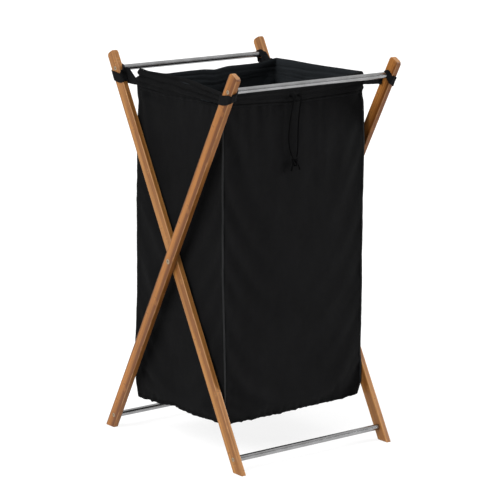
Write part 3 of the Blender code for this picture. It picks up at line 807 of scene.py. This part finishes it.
def crease_depth(crease, side, share, height):
    """Depth at one place of a soft valley between two places of a side."""
    crease_side, start, end, depth, half_width = crease
    if side != crease_side:
        return 0.0
    length = 2 * (BAG_HALF_X if side in ("front", "rear") else BAG_HALF_Y)
    ax, az = start[0] * length, start[1]
    bx, bz = end[0] * length, end[1]
    px, pz = share * length, height
    run = (bx - ax) ** 2 + (bz - az) ** 2
    t = ((px - ax) * (bx - ax) + (pz - az) * (bz - az)) / run
    near = min(max(t, 0.0), 1.0)
    off = math.hypot(px - ax - near * (bx - ax), pz - az - near * (bz - az))
    fade = 1.0 - 0.85 * near
    valley = bell(off, half_width)
    shoulder = bell(off - 1.9 * half_width, half_width)
    return depth * fade * (valley - 0.45 * shoulder)


def fine_places():
    """(side, share of the way along it) of each column once the grid is doubled."""
    return [(side, i / (2 * COLUMNS[side])) for side, *_ in WALKS for i in range(2 * COLUMNS[side])]


def crumple(walls):
    """Small creases: along the stitch lines, at the drawstring and over the panels."""
    normals = wall_normals(walls)
    rows = walls.shape[0]
    for r in range(rows):
        near_bottom = max(0.0, 1.0 - (rows - 1 - r) / 3.5)
        below_hem = bell(r - 2 * HEM_ROWS - 1.5, 3.0)
        for c, (side, share) in enumerate(fine_places()):
            x, y, z = walls[r, c]
            panel = 0.0007 * wobble(x * 34.0, y * 34.0, z * 24.0)
            panel += 0.0003 * wobble(x * 95.0 + 3.1, y * 95.0, z * 80.0)
            pucker = wobble(x * 150.0, y * 150.0, 5.0)
            lift = panel + (0.002 * near_bottom + 0.0012 * below_hem) * pucker
            lift -= sum(crease_depth(crease, side, share, z) for crease in CREASES)
            walls[r, c, 2] += 0.0016 * wobble(x * 120.0, y * 120.0, 9.0) * near_bottom
            walls[r, c] += normals[r, c] * lift
    return walls


def main_bag_grids():
    """Grids of the walls, kept clear of the inner frame's legs, and of the bottom."""
    walls = drawn_walls()
    floor = drawn_floor(walls[-1])
    walls, floor = settle(walls, floor)
    walls = crumple(doubled(walls, True))
    walls[:, :, 0] = np.clip(walls[:, :, 0], -LEG_CLEAR_X, LEG_CLEAR_X)
    floor = doubled(floor, False)
    edge = walls[-1]
    front, right, rear, left = edge_columns(2 * COLUMNS["front"], 2 * COLUMNS["right"])
    floor[0], floor[-1], floor[:, -1], floor[:, 0] = edge[front], edge[rear], edge[right], edge[left]
    return walls, floor


# ---------------- bag: pieces
def hem_depths():
    """Distance from the rim down to the stitch line at each fine column."""
    return [table_value(RIM[side], share) - table_value(STITCH_LINE[side], share)
            for side, share in fine_places()]


def on_column(walls, column, distance):
    """Point of one column that lies a distance below the rim, along the cloth."""
    line = walls[:, column]
    steps = np.linalg.norm(np.diff(line, axis=0), axis=1)
    along = np.concatenate([[0.0], np.cumsum(steps)])
    return np.array([np.interp(distance, along, line[:, k]) for k in range(3)])


def rim_normals(walls):
    """Level outward direction at each fine column of the hem."""
    band = walls[:8].mean(axis=0)
    across = np.roll(band, -1, axis=0) - np.roll(band, 1, axis=0)
    outward = np.stack([across[:, 1], -across[:, 0], np.zeros(len(band))], axis=1)
    return outward / np.linalg.norm(outward, axis=1, keepdims=True)


def column_uv(walls):
    """Way round the bag in metres at each fine column."""
    line = walls[walls.shape[0] // 2]
    steps = np.linalg.norm(np.roll(line, -1, axis=0) - line, axis=1)
    return np.concatenate([[0.0], np.cumsum(steps)[:-1]])


SHELL_TOP = 0.021           # the shell's top edge, hidden in the hem


def make_shell(walls, floor, materials):
    row_height = (walls[0, 0, 2] - walls[-1, 0, 2]) / (walls.shape[0] - 1)
    kept = walls[int(SHELL_TOP / row_height):]
    points, faces, _ = shell_mesh_data(kept, floor)
    way_round = column_uv(walls)
    uv = [(way_round[i % kept.shape[1]], points[i].z) for i in range(kept.shape[0] * kept.shape[1])]
    uv += [(p.x, p.y) for p in points[len(uv):]]
    shell = make_piece("bag_shell", points, faces, materials["black_cloth"], uv)
    mend_seam_uv(shell, way_round[-1])
    # Inner face: the lighter bluish cloth, which is painted light.
    shell.data.materials.append(materials["bluish_inside_painted_light"])
    thicken = shell.modifiers.new("cloth_thickness", "SOLIDIFY")
    thicken.thickness = CLOTH
    thicken.offset = -1.0
    thicken.material_offset = 1
    return shell


def mend_seam_uv(piece, length):
    """Faces that cross from the last column to the first keep a short UV stretch."""
    layer = piece.data.uv_layers["cloth"]
    for face in piece.data.polygons:
        values = [layer.data[i].uv[0] for i in face.loop_indices]
        if max(values) - min(values) > length / 2:
            for i in face.loop_indices:
                if layer.data[i].uv[0] < length / 2:
                    layer.data[i].uv[0] += length + 0.004


# Section of the folded hem: (how far out of the cloth's middle, share of the hem's depth below the
# rim).  It runs up the outside, over the rim and down the inside.
HEM_SECTION = (
    (0.0006, 1.075), (0.0015, 1.04), (0.0014, 0.985), (0.0003, 0.945), (0.0016, 0.905), (0.0023, 0.82),
    (0.0026, 0.7), (0.0026, 0.55), (0.0024, 0.35), (0.002, 0.18), (0.0013, 0.06), (0.0, 0.0),
    (-0.0013, 0.06), (-0.002, 0.18), (-0.0024, 0.35), (-0.0026, 0.55), (-0.0026, 0.7),
    (-0.0021, 0.82), (-0.0012, 0.9), (-0.0009, 0.945), (-0.0012, 0.99), (-0.0012, 1.05), (-0.0007, 1.1),
)
THREAD_RADIUS = 0.00032
HEM_STITCH = (0.0027, 0.001)        # length of a stitch and the gap after it
BOTTOM_STITCH = (0.0028, 0.0011)
SEAM_RADIUS = 0.0014
BOTTOM_SEAM_RADIUS = 0.0012
SEAM_SIDES = 10
SEAM_STEP = 0.003
SEAM_TOP_ROW = 7            # the row of the walls where the corner seams begin
STITCH_SHARE = 0.945        # where the stitches run, as a share of the hem's depth
HEM_CLEAR_X = LEG_MIDDLE_X["rear"] - LEG_THICKNESS / 2 - 0.0006
HEM_STEP = 0.04            # longest step along the hem's section, as a share of its depth
GATHER_WIDTH = 0.022
EXITS = (-0.008, 0.007)    # x of the two places where the drawstring leaves the hem
EXIT_HEIGHT = 0.585
# Long wrinkles of the hem: share of its depth at the start and the end of each side, and depth.
HEM_WRINKLES = {
    "front": ((0.3, 0.42, 0.001), (0.72, 0.6, 0.001)),
    "right": ((0.25, 0.5, 0.0012), (0.65, 0.8, 0.001)),
    "rear": ((0.45, 0.2, 0.0012), (0.8, 0.55, 0.001)),
    "left": ((0.14, 0.3, 0.0028), (0.4, 0.66, 0.0034), (0.7, 0.93, 0.0024)),
}


def gather_at(x, y):
    """How strongly the hem is gathered by the drawstring, 0 to 1, near its exits in front."""
    return bell(x, GATHER_WIDTH) if y < 0 else 0.0


def hem_section():
    """The section with enough rows in it for the wrinkles."""
    rows = []
    for (out, share), (next_out, next_share) in zip(HEM_SECTION, HEM_SECTION[1:]):
        steps = max(1, math.ceil(abs(next_share - share) / HEM_STEP))
        for i in range(steps):
            t = i / steps
            rows.append((out + (next_out - out) * t, share + (next_share - share) * t))
    return rows + [HEM_SECTION[-1]]


def hem_relief(side, along, share, place, outside):
    """How far the hem's surface stands out of its plain section at one place."""
    relief = 0.0
    for start, end, depth in HEM_WRINKLES[side]:
        wander = wobble(place[0] * 22.0, place[1] * 22.0, 40.0 * start)
        line = start + (end - start) * along + 0.09 * wander
        depth *= 0.85 + 0.7 * wander
        relief -= depth * bell(share - line, 0.065)
        relief += 0.5 * depth * bell(share - line - 0.13, 0.08)
    if side == "front" and outside:
        for x in EXITS:
            away = math.hypot(place[0] - x, place[2] - EXIT_HEIGHT)
            relief -= 0.0022 * bell(away, 0.0042)
    return relief


def make_hem(walls, materials):
    depths = hem_depths()
    outward = rim_normals(walls)
    way_round = column_uv(walls)
    around = walls.shape[1]
    places = fine_places()
    section = hem_section()
    points, uv = [], []
    for out, share in section:
        for c in range(around):
            place = on_column(walls, c, share * depths[c])
            way = way_round[c]
            wrinkle = wobble(way * 26.0, share * 3.2 + way * 9.0, 1.7)
            pucker = wobble(way * 170.0, 4.0, 0.5) * bell(share - STITCH_SHARE, 0.1)
            fold = math.sin(place[0] * 900.0 + 2.0 * share) * gather_at(place[0], place[1])
            swell = out * (1.0 + 0.3 * wrinkle + 0.15 * fold)
            shift = 0.0009 * wrinkle * (1.0 - 0.6 * share) + 0.0009 * pucker + 0.0009 * fold
            relief = hem_relief(*places[c], share, place, out > 0.0)
            shift += relief if out > 0.0 else -0.6 * relief
            point = place + outward[c] * (swell + shift)
            point[0] = min(max(point[0], -HEM_CLEAR_X), HEM_CLEAR_X)
            points.append(point)
            uv.append((way, 0.6 + math.copysign(share, out) * depths[c]))
    faces = ring_faces(len(section), around, closed=True)
    hem = make_piece("bag_hem", points, faces, materials["black_cloth"], uv)
    # Inner face of the hem: the lighter bluish cloth, which is painted light.
    hem.data.materials.append(materials["bluish_inside_painted_light"])
    rim_row = next(i for i, (_, share) in enumerate(section) if share == 0.0)
    for face in hem.data.polygons:
        face.material_index = 1 if face.index // around > rim_row else 0
    mend_seam_uv(hem, way_round[-1])
    return hem


def dashes(collected, line, normals, length, gap):
    """Row of stitches: short rounded rods laid along a line of points on the cloth."""
    line = [Vector(p) for p in line]
    along = distances(line)

    def between(rows, where):
        return Vector([np.interp(where, along, [row[k] for row in rows]) for k in range(3)])

    at = gap
    while at + length < along[-1]:
        spots = []
        for share, lift in ((0.0, -0.4), (0.18, 0.35), (0.5, 0.55), (0.82, 0.35), (1.0, -0.4)):
            where = at + share * length
            spots.append(between(line, where) + between(normals, where) * THREAD_RADIUS * lift)
        collected.add_tube(spots, lambda _, __: THREAD_RADIUS, 6)
        at += length + gap


def make_stitches(walls, materials):
    depths = hem_depths()
    outward = rim_normals(walls)
    loop = [*range(walls.shape[1]), 0]
    stitches = Collected()
    for way_out in (1, -1):
        line = [on_column(walls, c, STITCH_SHARE * depths[c]) + outward[c] * 0.001 * way_out
                for c in loop]
        dashes(stitches, line, [outward[c] * way_out for c in loop], *HEM_STITCH)
    surface = wall_normals(walls)
    dashes(stitches, walls[-2, loop], surface[-2, loop], *BOTTOM_STITCH)
    return stitches.piece("bag_stitches", materials["black_thread"])


def make_corner_seams(walls, materials):
    """Seam allowance that stands up as a narrow ridge down each corner, from below the hem."""
    seams = Collected()
    uv = []
    normals = wall_normals(walls)
    for column in CORNER_COLUMNS.values():
        line = []
        for r in range(SEAM_TOP_ROW, walls.shape[0]):
            stand = 0.0006 + 0.00025 * wobble(column, walls[r, column, 2] * 60.0, 0.0)
            line.append(Vector(walls[r, column]) + Vector(normals[r, column]) * stand)
        line = even_points(line, SEAM_STEP)

        def ridge(along, angle):
            return SEAM_RADIUS * (1.0 + 0.16 * wobble(along * 240.0, column, math.cos(angle)))

        seams.add_tube(line, ridge, SEAM_SIDES)
        uv += [(k * 0.0007, i * SEAM_STEP) for i in range(len(line)) for k in range(SEAM_SIDES)]
    # The ridges' lighter cloth is a painted sheen.
    return seams.piece("bag_corner_seams", materials["seam_cloth_painted_sheen"], uv)


def make_bottom_seam(walls, materials):
    """Bound edge where the bottom panel is sewn to the walls."""
    line = [Vector(point) + Vector((0.0, 0.0, -0.0002)) for point in walls[-1]]

    def ridge(along, angle):
        return BOTTOM_SEAM_RADIUS * (1.0 + 0.3 * wobble(along * 170.0, 3.0, 1.4 * math.cos(angle)))

    seam = Collected()
    seam.add_tube(line, ridge, SEAM_SIDES, closed=True)
    uv = [(k * 0.0008, i * 0.004) for i in range(len(line)) for k in range(SEAM_SIDES)]
    return seam.piece("bag_bottom_seam", materials["black_cloth"], uv)


# ---------------- straps
STRAP_THICKNESS = 0.0013
# Round the strap's cross section: share of its width and of its thickness.
HALF_SECTION = ((-0.5, -0.3), (-0.46, -0.5), (-0.25, -0.5), (0.0, -0.5), (0.25, -0.5), (0.46, -0.5),
                (0.5, -0.3))
STRAP_SECTION = (*HALF_SECTION, *((-a, -b) for a, b in HALF_SECTION))
# How each strap lies on the leg's bag side: (reach up the leg, width) at the inner edge, the middle
# and the outer edge, then the tab's (reach, width) beside the leg and how far below the rim it ends.
STRAP_LAY = {
    "front_left": ((0.3235, 0.0125), (0.3155, 0.0146), (0.3133, 0.0152), (0.323, 0.019), 0.0175),
    "front_right": ((0.32, 0.0135), (0.3145, 0.0146), (0.3133, 0.0152), (0.3215, 0.018), 0.0175),
    "rear_left": ((0.319, 0.0255), (0.3165, 0.019), (0.315, 0.0146), (0.319, 0.027), 0.0255),
    "rear_right": ((0.3135, 0.015), (0.3115, 0.0146), (0.3105, 0.0146), (0.317, 0.022), 0.0235),
}


def ribbon(collected, uv, stations, steps, closed):
    """Flat strap through stations of (place, width direction, width, thickness, squared).

    squared is 1 where the strap's width lies square to its run and 0 where it stays as given.
    """
    rows = [station_between(stations, s, i / steps, closed)
            for s in range(len(stations) if closed else len(stations) - 1) for i in range(steps)]
    if not closed:
        rows.append(stations[-1])
    places = [row[0] for row in rows]
    points = []
    for row, ahead, along in zip(rows, directions(places, closed), distances(places)):
        place, wide, width, thickness, squared = row
        wide = (wide - squared * ahead * wide.dot(ahead)).normalized()
        out = ahead.cross(wide).normalized()
        for a, b in STRAP_SECTION:
            bend = 0.0004 * noise.noise(place * 160.0 + Vector((0.0, 0.0, a)))
            points.append(place + wide * (a * width) + out * (b * thickness + bend))
            uv.append((a * width + 0.5, along))
    collected.add(points, tube_faces(len(rows), len(STRAP_SECTION), closed))


def station_between(stations, index, t, closed):
    """Smooth stretch of strap between two stations."""
    count = len(stations)
    four = range(index - 1, index + 3)
    a, b, c, d = (stations[k % count if closed else min(max(k, 0), count - 1)] for k in four)
    wide = b[1].lerp(c[1], t).normalized()
    return (curve(a[0], b[0], c[0], d[0], t), wide, *(b[k] + (c[k] - b[k]) * t for k in (2, 3, 4)))


def leg_axes(corner, side):
    """(middle of the leg at its pivot, outward, towards the bag, up the leg) for a top corner."""
    lean = LEAN if corner == "front" else -LEAN
    turn = Matrix.Rotation(lean, 3, "X")
    up = turn @ Vector((0.0, 0.0, 1.0))
    towards = turn @ Vector((0.0, 1.0 if corner == "front" else -1.0, 0.0))
    centre = Vector((side * LEG_MIDDLE_X[corner], PIVOT.y, PIVOT.z))
    return centre, Vector((float(side), 0.0, 0.0)), towards, up


def make_strap_loop(corner, side_name, materials):
    """Strap round a leg's top: under the screw outside, up both edges and over the tube inside."""
    side = SIDES[side_name]
    centre, outward, towards, up = leg_axes(corner, side)
    proud = 0.0004 + STRAP_THICKNESS / 2
    face = LEG_THICKNESS / 2 + proud
    edge = LEG_WIDTH / 2 + proud
    over_tube = TUBE_REACH + 0.96 * (TUBE_RADIUS + 0.0003 + STRAP_THICKNESS / 2)

    def station(out, near, reach, wide, width, thickness=STRAP_THICKNESS, squared=1.0):
        return (centre + outward * out + towards * near + up * reach, wide, width, thickness, squared)

    across = (0.53 * towards + 0.85 * up).normalized()
    turning = (0.25 * towards + up).normalized()
    leaning = (up + 0.3 * outward).normalized()
    flat = (outward + 0.25 * up).normalized()
    width = 0.0152
    inner_edge, bag_side, outer_edge, _, _ = STRAP_LAY[f"{corner}_{side_name}"]
    stations = [
        station(face, 0.0, STRAP_REACH, across, width),
        station(face, -0.66 * edge, STRAP_REACH + 0.006, turning, 0.015, squared=0.5),
        station(0.76 * face, -edge, STRAP_REACH + 0.008, up, 0.0142, squared=0.0),
        station(0.0, -edge - 0.0002, STRAP_REACH + 0.0112, up, width),
        station(-0.8 * face, -edge, STRAP_REACH + 0.0138, up, 0.0148),
        station(-1.2 * face, -0.74 * edge, STRAP_REACH + 0.0158, leaning, 0.0125, 0.0015),
        station(-1.5 * face, -0.22 * edge, over_tube, flat, 0.0068, 0.0017),
        station(-1.5 * face, 0.22 * edge, over_tube, flat, 0.0068, 0.0017),
        station(-1.2 * face, 0.74 * edge, TUBE_REACH - 0.003, leaning, 0.011, 0.0015),
        station(-0.8 * face, edge, inner_edge[0], up, inner_edge[1]),
        station(0.0, edge + 0.0002, bag_side[0], up, bag_side[1]),
        station(0.8 * face, edge, outer_edge[0], up, outer_edge[1]),
        station(face, 0.72 * edge, STRAP_REACH - 0.005, across, width),
    ]
    loop = Collected()
    uv = []
    ribbon(loop, uv, stations, 5, closed=True)
    if corner == "rear":
        under_tube = [
            station(-face, -0.93 * edge, STRAP_REACH + 0.0022, up, 0.016),
            station(-face - 0.0002, -0.3 * edge, STRAP_REACH + 0.0012, up, 0.0166),
            station(-face - 0.0002, 0.4 * edge, STRAP_REACH, up, 0.0166),
            station(-face, 0.93 * edge, STRAP_REACH - 0.002, up, 0.016),
        ]
        ribbon(loop, uv, under_tube, 5, closed=False)
    piece = loop.piece(f"{corner}_{side_name}_strap", materials["strap_cloth"], uv)
    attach(piece, "outer_frame" if corner == "front" else "inner_frame")
    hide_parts(f"strap_loop_{corner}_{side_name}")


def make_strap_tab(corner, side_name, walls, materials):
    """Strap's sewn ends, from the loop's inner side to the top of the bag's corner seam."""
    side = SIDES[side_name]
    centre, outward, towards, up = leg_axes(corner, side)
    column = CORNER_COLUMNS[f"{corner}_{side_name}"]
    *_, (reach, width), below_rim = STRAP_LAY[f"{corner}_{side_name}"]
    inner_face = centre - outward * (LEG_THICKNESS / 2 + 0.0011 + STRAP_THICKNESS)
    start = inner_face + towards * (LEG_WIDTH / 2 - 0.004) + up * reach
    bend = inner_face + towards * (LEG_WIDTH / 2 + 0.0014) + up * (reach - 0.0025)
    sewn = Vector(on_column(walls, column, below_rim))
    out = Vector((side * 0.35, -1.0 if corner == "front" else 1.0, 0.0)).normalized()
    upright = Vector((0.0, 0.0, 1.0))
    stations = [
        (start, up, width, 0.0016, 1.0),
        (bend, (up + upright).normalized(), width, 0.0016, 1.0),
        (bend.lerp(sewn, 0.5) - upright * 0.0006, upright, 0.5 * width + 0.0025, 0.0022, 1.0),
        (sewn + out * 0.0018, upright, 0.0068, 0.003, 1.0),
        (sewn - out * 0.0012, upright, 0.0066, 0.003, 1.0),
    ]
    tab = Collected()
    uv = []
    ribbon(tab, uv, stations, 6, closed=False)
    piece = tab.piece(f"{corner}_{side_name}_strap_tab", materials["strap_cloth"], uv)
    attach(piece, "bag")
    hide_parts(f"strap_tab_{corner}_{side_name}")
    return piece


# ---------------- drawstring
CORD_DIAMETER = 0.0026
CORD_STEP = 0.0009          # spacing of the rings along a cord
CORD_SIDES = 18
# Both ends leave the hem and hang alike: (y, z) of each place but the last, and then their own x.
CORD_LINE = (
    (-0.1162, 0.585), (-0.119, 0.585), (-0.1222, 0.5843), (-0.1247, 0.5821), (-0.1258, 0.5785),
    (-0.1257, 0.5735), (-0.1249, 0.565), (-0.124, 0.553), (-0.1234, 0.54), (-0.123, 0.527),
    (-0.1229, 0.515), (-0.123, 0.503), (-0.1233, 0.493),
)
CORD_X = {
    "left": (-0.008, -0.008, -0.0081, -0.0085, -0.009, -0.0097, -0.011, -0.0128, -0.0146,
             -0.0157, -0.0157, -0.0142, -0.011),
    "right": (0.007, 0.007, 0.0069, 0.0065, 0.006, 0.0053, 0.0043, 0.0034, 0.0029,
              0.0028, 0.0028, 0.0024, 0.0012),
}
CORD_END = {"left": (-0.0078, -0.1236, 0.4866), "right": (-0.0004, -0.1236, 0.487)}
KNOT_RINGS = 96
KNOT_CENTRE = Vector((-0.004, -0.1238, 0.4795))
TAILS = (
    ((-0.007, -0.1236, 0.479), (-0.0082, -0.124, 0.4745), (-0.0098, -0.1238, 0.47),
     (-0.0104, -0.1233, 0.4655)),
    ((0.0, -0.1238, 0.478), (0.0024, -0.1242, 0.474), (0.0046, -0.1238, 0.4705),
     (0.0062, -0.1232, 0.4668)),
)
ROPE_LAY = 0.0068           # length of one full twist of the three strands


def rope(along, angle):
    """Radius of a three-strand twisted cord."""
    strands = abs(math.cos(1.5 * (angle - 2 * math.pi * along / ROPE_LAY)))
    return CORD_DIAMETER / 2 * (0.8 + 0.24 * strands)


def make_knot(materials):
    """Overhand knot of both ends with two short tails below it."""
    knot = Collected()
    turns = []
    for i in range(KNOT_RINGS):
        t = 2 * math.pi * i / KNOT_RINGS
        turns.append(KNOT_CENTRE + Vector((
            0.0019 * (math.sin(t) + 2.0 * math.sin(2 * t)),
            0.0021 * math.sin(3 * t),
            0.002 * (math.cos(t) - 2.0 * math.cos(2 * t)),
        )))
    knot.add_tube(turns, rope, 14, closed=True)
    for tail in TAILS:
        points = smooth_route(tail, CORD_STEP)
        length = route_length(points)

        def frayed(along, angle, length=length):
            flare = 1.0 + 0.35 * max(0.0, (along / length - 0.75) / 0.25)
            return rope(along, angle) * flare * (1.0 + 0.1 * math.sin(9 * angle) * (flare - 1.0) / 0.35)

        knot.add_tube(points, frayed, CORD_SIDES)
    return knot.piece("drawstring_tied_knot", materials["black_cord"])


def make_drawstring(materials):
    knot = make_knot(materials)
    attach(knot, "bag")
    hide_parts("drawstring_knot")
    for name in SIDES:
        route = [(x, y, z) for x, (y, z) in zip(CORD_X[name], CORD_LINE)] + [CORD_END[name]]
        points = smooth_route(route, CORD_STEP)
        strand = Collected()
        strand.add_tube(points, rope, CORD_SIDES)
        piece = strand.piece(f"drawstring_{name}", materials["black_cord"])
        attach(piece, "bag")
        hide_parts(f"drawstring_end_{name}")
        route_length(points)
        press_flat(piece)
    press_flat(knot)


def press_flat(piece):
    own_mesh(piece)


# ---------------- bag: assembly
def make_bag(materials):
    walls, floor = main_bag_grids()
    shell = make_shell(walls, floor, materials)
    hem = make_hem(walls, materials)
    stitches = make_stitches(walls, materials)
    seams = make_corner_seams(walls, materials)
    bottom_seam = make_bottom_seam(walls, materials)
    parts = (shell, hem, stitches, seams, bottom_seam)
    for piece in parts:
        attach(piece, "bag")
    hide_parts("bag_panel_front", "bag_panel_right", "bag_panel_rear", "bag_panel_left",
                "bag_bottom")
    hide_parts("bag_hem_front", "bag_hem_right", "bag_hem_rear", "bag_hem_left",
                "drawstring_in_hem")
    tabs = []
    for corner in ("front", "rear"):
        for side_name in SIDES:
            make_strap_loop(corner, side_name, materials)
            tabs.append(make_strap_tab(corner, side_name, walls, materials))
    wall_height = float(walls[0, :, 2].mean() - walls[-1, :, 2].mean())
    for piece in (*parts, *tabs):
        press_flat(piece)


# ---------------- room
FLOOR_HALF = 30.0
FLOOR_GLOW = 0.8
SKY = ((0.0, 0.2), (0.12, 0.18), (0.35, 0.34), (0.7, 0.9), (1.0, 1.3))   # sine of height, level
BACKDROP = Vector((0.61, 0.79, 0.0))     # the way to the bright end of the studio
BACKDROP_LEVEL = 0.85


def make_floor():
    pale = Finish("pale_floor", 0.9, specular=0.1)
    cloud = pale.noise(pale.place, 3.0, 3.0)
    pale.set("Base Color", pale.mix(cloud, (0.22, 0.22, 0.22), (0.25, 0.25, 0.25)))
    pale.set("Emission Color", (1.0, 1.0, 1.0))
    pale.set("Emission Strength", FLOOR_GLOW)
    corners = [(x * FLOOR_HALF, y * FLOOR_HALF, 0.0) for x, y in ((-1, -1), (1, -1), (1, 1), (-1, 1))]
    floor = make_piece("floor", corners, [(0, 1, 2, 3)], pale.material)


def make_sun(name, direction, strength, width):
    """Very wide, soft light that falls from a direction."""
    data = bpy.data.lights.new(name, "SUN")
    data.energy = strength
    data.angle = math.radians(width)
    light = bpy.data.objects.new(name, data)
    light.rotation_mode = "QUATERNION"
    light.rotation_quaternion = Vector(direction).to_track_quat("Z", "Y")
    bpy.context.scene.collection.objects.link(light)


def make_world():
    """White studio: bright overhead and at one end, dim at the horizon."""
    world = bpy.data.worlds.new("studio")
    world.use_nodes = True
    nodes = Nodes(world.node_tree)
    direction = nodes.add("TexCoord", "Generated")
    sky = nodes.add("ValToRGB", inputs={"Fac": nodes.axes(direction)[2]})
    elements = sky.socket.node.color_ramp.elements
    while len(elements) < len(SKY):
        elements.new(0.5)
    for element, (height, level) in zip(elements, SKY):
        element.position = height
        element.color = (level, level, level, 1.0)
    facing = nodes.add("VectorMath", "Value", operation="DOT_PRODUCT",
                       inputs={0: direction, 1: BACKDROP})
    brighter = nodes.math("MAXIMUM", sky, facing.mapped(0.0, 0.9, 0.0, BACKDROP_LEVEL))
    nodes.feed(world.node_tree.nodes["Background"].inputs["Color"], brighter)
    bpy.context.scene.world = world


def make_room():
    scene = bpy.context.scene
    scene.view_settings.view_transform = "Standard"
    scene.view_settings.look = "None"
    make_world()
    make_sun("key", (-0.8, 0.0, 0.6), 3.2, 44.0)
    make_sun("fill", (0.9, -0.43, 0.2), 3.8, 30.0)
    make_floor()


# ---------------- the whole scene
make_camera()
MATERIALS = make_materials()
make_drawstring(MATERIALS)
make_bag(MATERIALS)
dress_frame(MATERIALS)
make_room()
